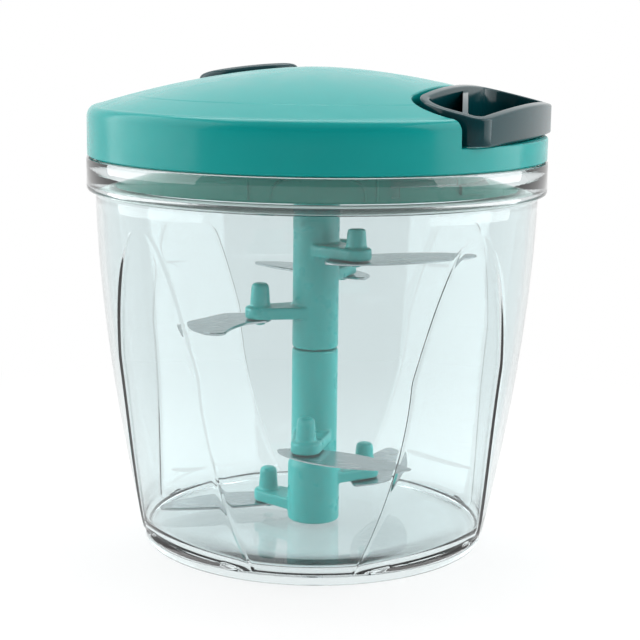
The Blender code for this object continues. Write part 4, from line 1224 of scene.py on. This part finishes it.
def studio_world(name):
    """White to the camera, a room to whatever else is seen directly, and an even fill to the rest."""
    world = bpy.data.worlds.new(name)
    world.use_nodes = True
    tree = world.node_tree
    direction = add_node(tree, "ShaderNodeTexCoord", "Generated", {})
    along, up = (add_node(tree, "ShaderNodeSeparateXYZ", axis, {"Vector": direction}) for axis in "YZ")
    depth = ranged(tree, along, room_front, 1.0, room_depth, "SMOOTHSTEP")
    above = ranged(tree, up, 0.0, 1.0, room_above, "SMOOTHSTEP")
    inputs = {"Factor": seen_directly(tree), "A": fill_light, "B": larger(tree, depth, above)}
    strength = add_node(tree, "ShaderNodeMix", "Result", inputs)
    camera = add_node(tree, "ShaderNodeLightPath", "Is Camera Ray", {})
    inputs = {"Color": (1, 1, 1, 1), "Strength": larger(tree, strength, camera)}
    fill_inputs(tree, tree.nodes["Background"], inputs)
    return world


class CHOPPER_OT_stage(bpy.types.Operator):
    """Sets up the pale floor, the soft studio light and the camera"""

    bl_idname = "chopper.stage"
    bl_label = "Stage"

    def execute(self, context):
        scene = context.scene
        mesh = bpy.data.meshes.new("floor")
        corners = [(x * floor_reach, y * floor_reach, 0) for x, y in ((-1, -1), (1, -1), (1, 1), (-1, 1))]
        mesh.from_pydata(corners, [], [(0, 1, 2, 3)])
        mesh.materials.append(pale_floor("pale floor", scene.chopper_colours.floor))
        floor = bpy.data.objects.new("floor", mesh)
        floor.location.z = -floor_drop
        scene.collection.objects.link(floor)
        scene.world = studio_world("studio")
        for name, (place, size, power) in softboxes.items():
            area_light(name, place, size, power)

        data = bpy.data.cameras.new("camera")
        data.sensor_width = sensor_width
        data.lens = focal_pixels / frame_width * sensor_width
        data.clip_start = 0.01
        camera = bpy.data.objects.new("camera", data)
        cp, sp = math.cos(camera_pitch), math.sin(camera_pitch)
        cy, sy = math.cos(camera_yaw), math.sin(camera_yaw)
        cr, sr = math.cos(camera_roll), math.sin(camera_roll)
        right, up = Vector((cy, -sy, 0)), Vector((sy * sp, cy * sp, cp))
        ahead = Vector((sy * cp, cy * cp, -sp))
        axes = Matrix((right * cr + up * sr, up * cr - right * sr, -ahead)).transposed()
        camera.matrix_world = Matrix.Translation(camera_place) @ axes.to_4x4()
        scene.collection.objects.link(camera)
        scene.camera = camera
        scene.view_settings.view_transform = "Standard"
        return {"FINISHED"}


class CHOPPER_PT_panel(bpy.types.Panel):
    bl_label = "Food chopper"
    bl_idname = "CHOPPER_PT_panel"
    bl_space_type = "VIEW_3D"
    bl_region_type = "UI"
    bl_category = "Chopper"

    def draw(self, context):
        for group in (context.scene.chopper_sizes, context.scene.chopper_colours):
            box = self.layout.box()
            for name in group.bl_rna.properties.keys():
                if name not in ("rna_type", "name"):
                    box.prop(group, name)
        for operator in operators:
            self.layout.operator(operator.bl_idname)


operators = (
    CHOPPER_OT_stage,
    CHOPPER_OT_bowl,
    CHOPPER_OT_rotor,
    CHOPPER_OT_blades,
    CHOPPER_OT_seal,
    CHOPPER_OT_cover,
    CHOPPER_OT_lid_base,
    CHOPPER_OT_pad,
    CHOPPER_OT_handle,
    CHOPPER_OT_cord,
    CHOPPER_OT_inner_pieces,
)
classes = (ChopperSizes, ChopperColours, *operators, CHOPPER_PT_panel)


def register():
    for cls in classes:
        bpy.utils.register_class(cls)
    bpy.types.Scene.chopper_sizes = PointerProperty(type=ChopperSizes)
    bpy.types.Scene.chopper_colours = PointerProperty(type=ChopperColours)


def unregister():
    del bpy.types.Scene.chopper_colours
    del bpy.types.Scene.chopper_sizes
    for cls in reversed(classes):
        bpy.utils.unregister_class(cls)


def main():
    register()
    bpy.ops.chopper.stage()
    bpy.ops.chopper.bowl()
    bpy.ops.chopper.rotor()
    bpy.ops.chopper.blades()
    bpy.ops.chopper.seal()
    bpy.ops.chopper.cover()
    bpy.ops.chopper.lid_base()
    bpy.ops.chopper.pad()
    bpy.ops.chopper.handle()
    bpy.ops.chopper.cord()
    bpy.ops.chopper.inner_pieces()


if __name__ == "__main__":
    main()
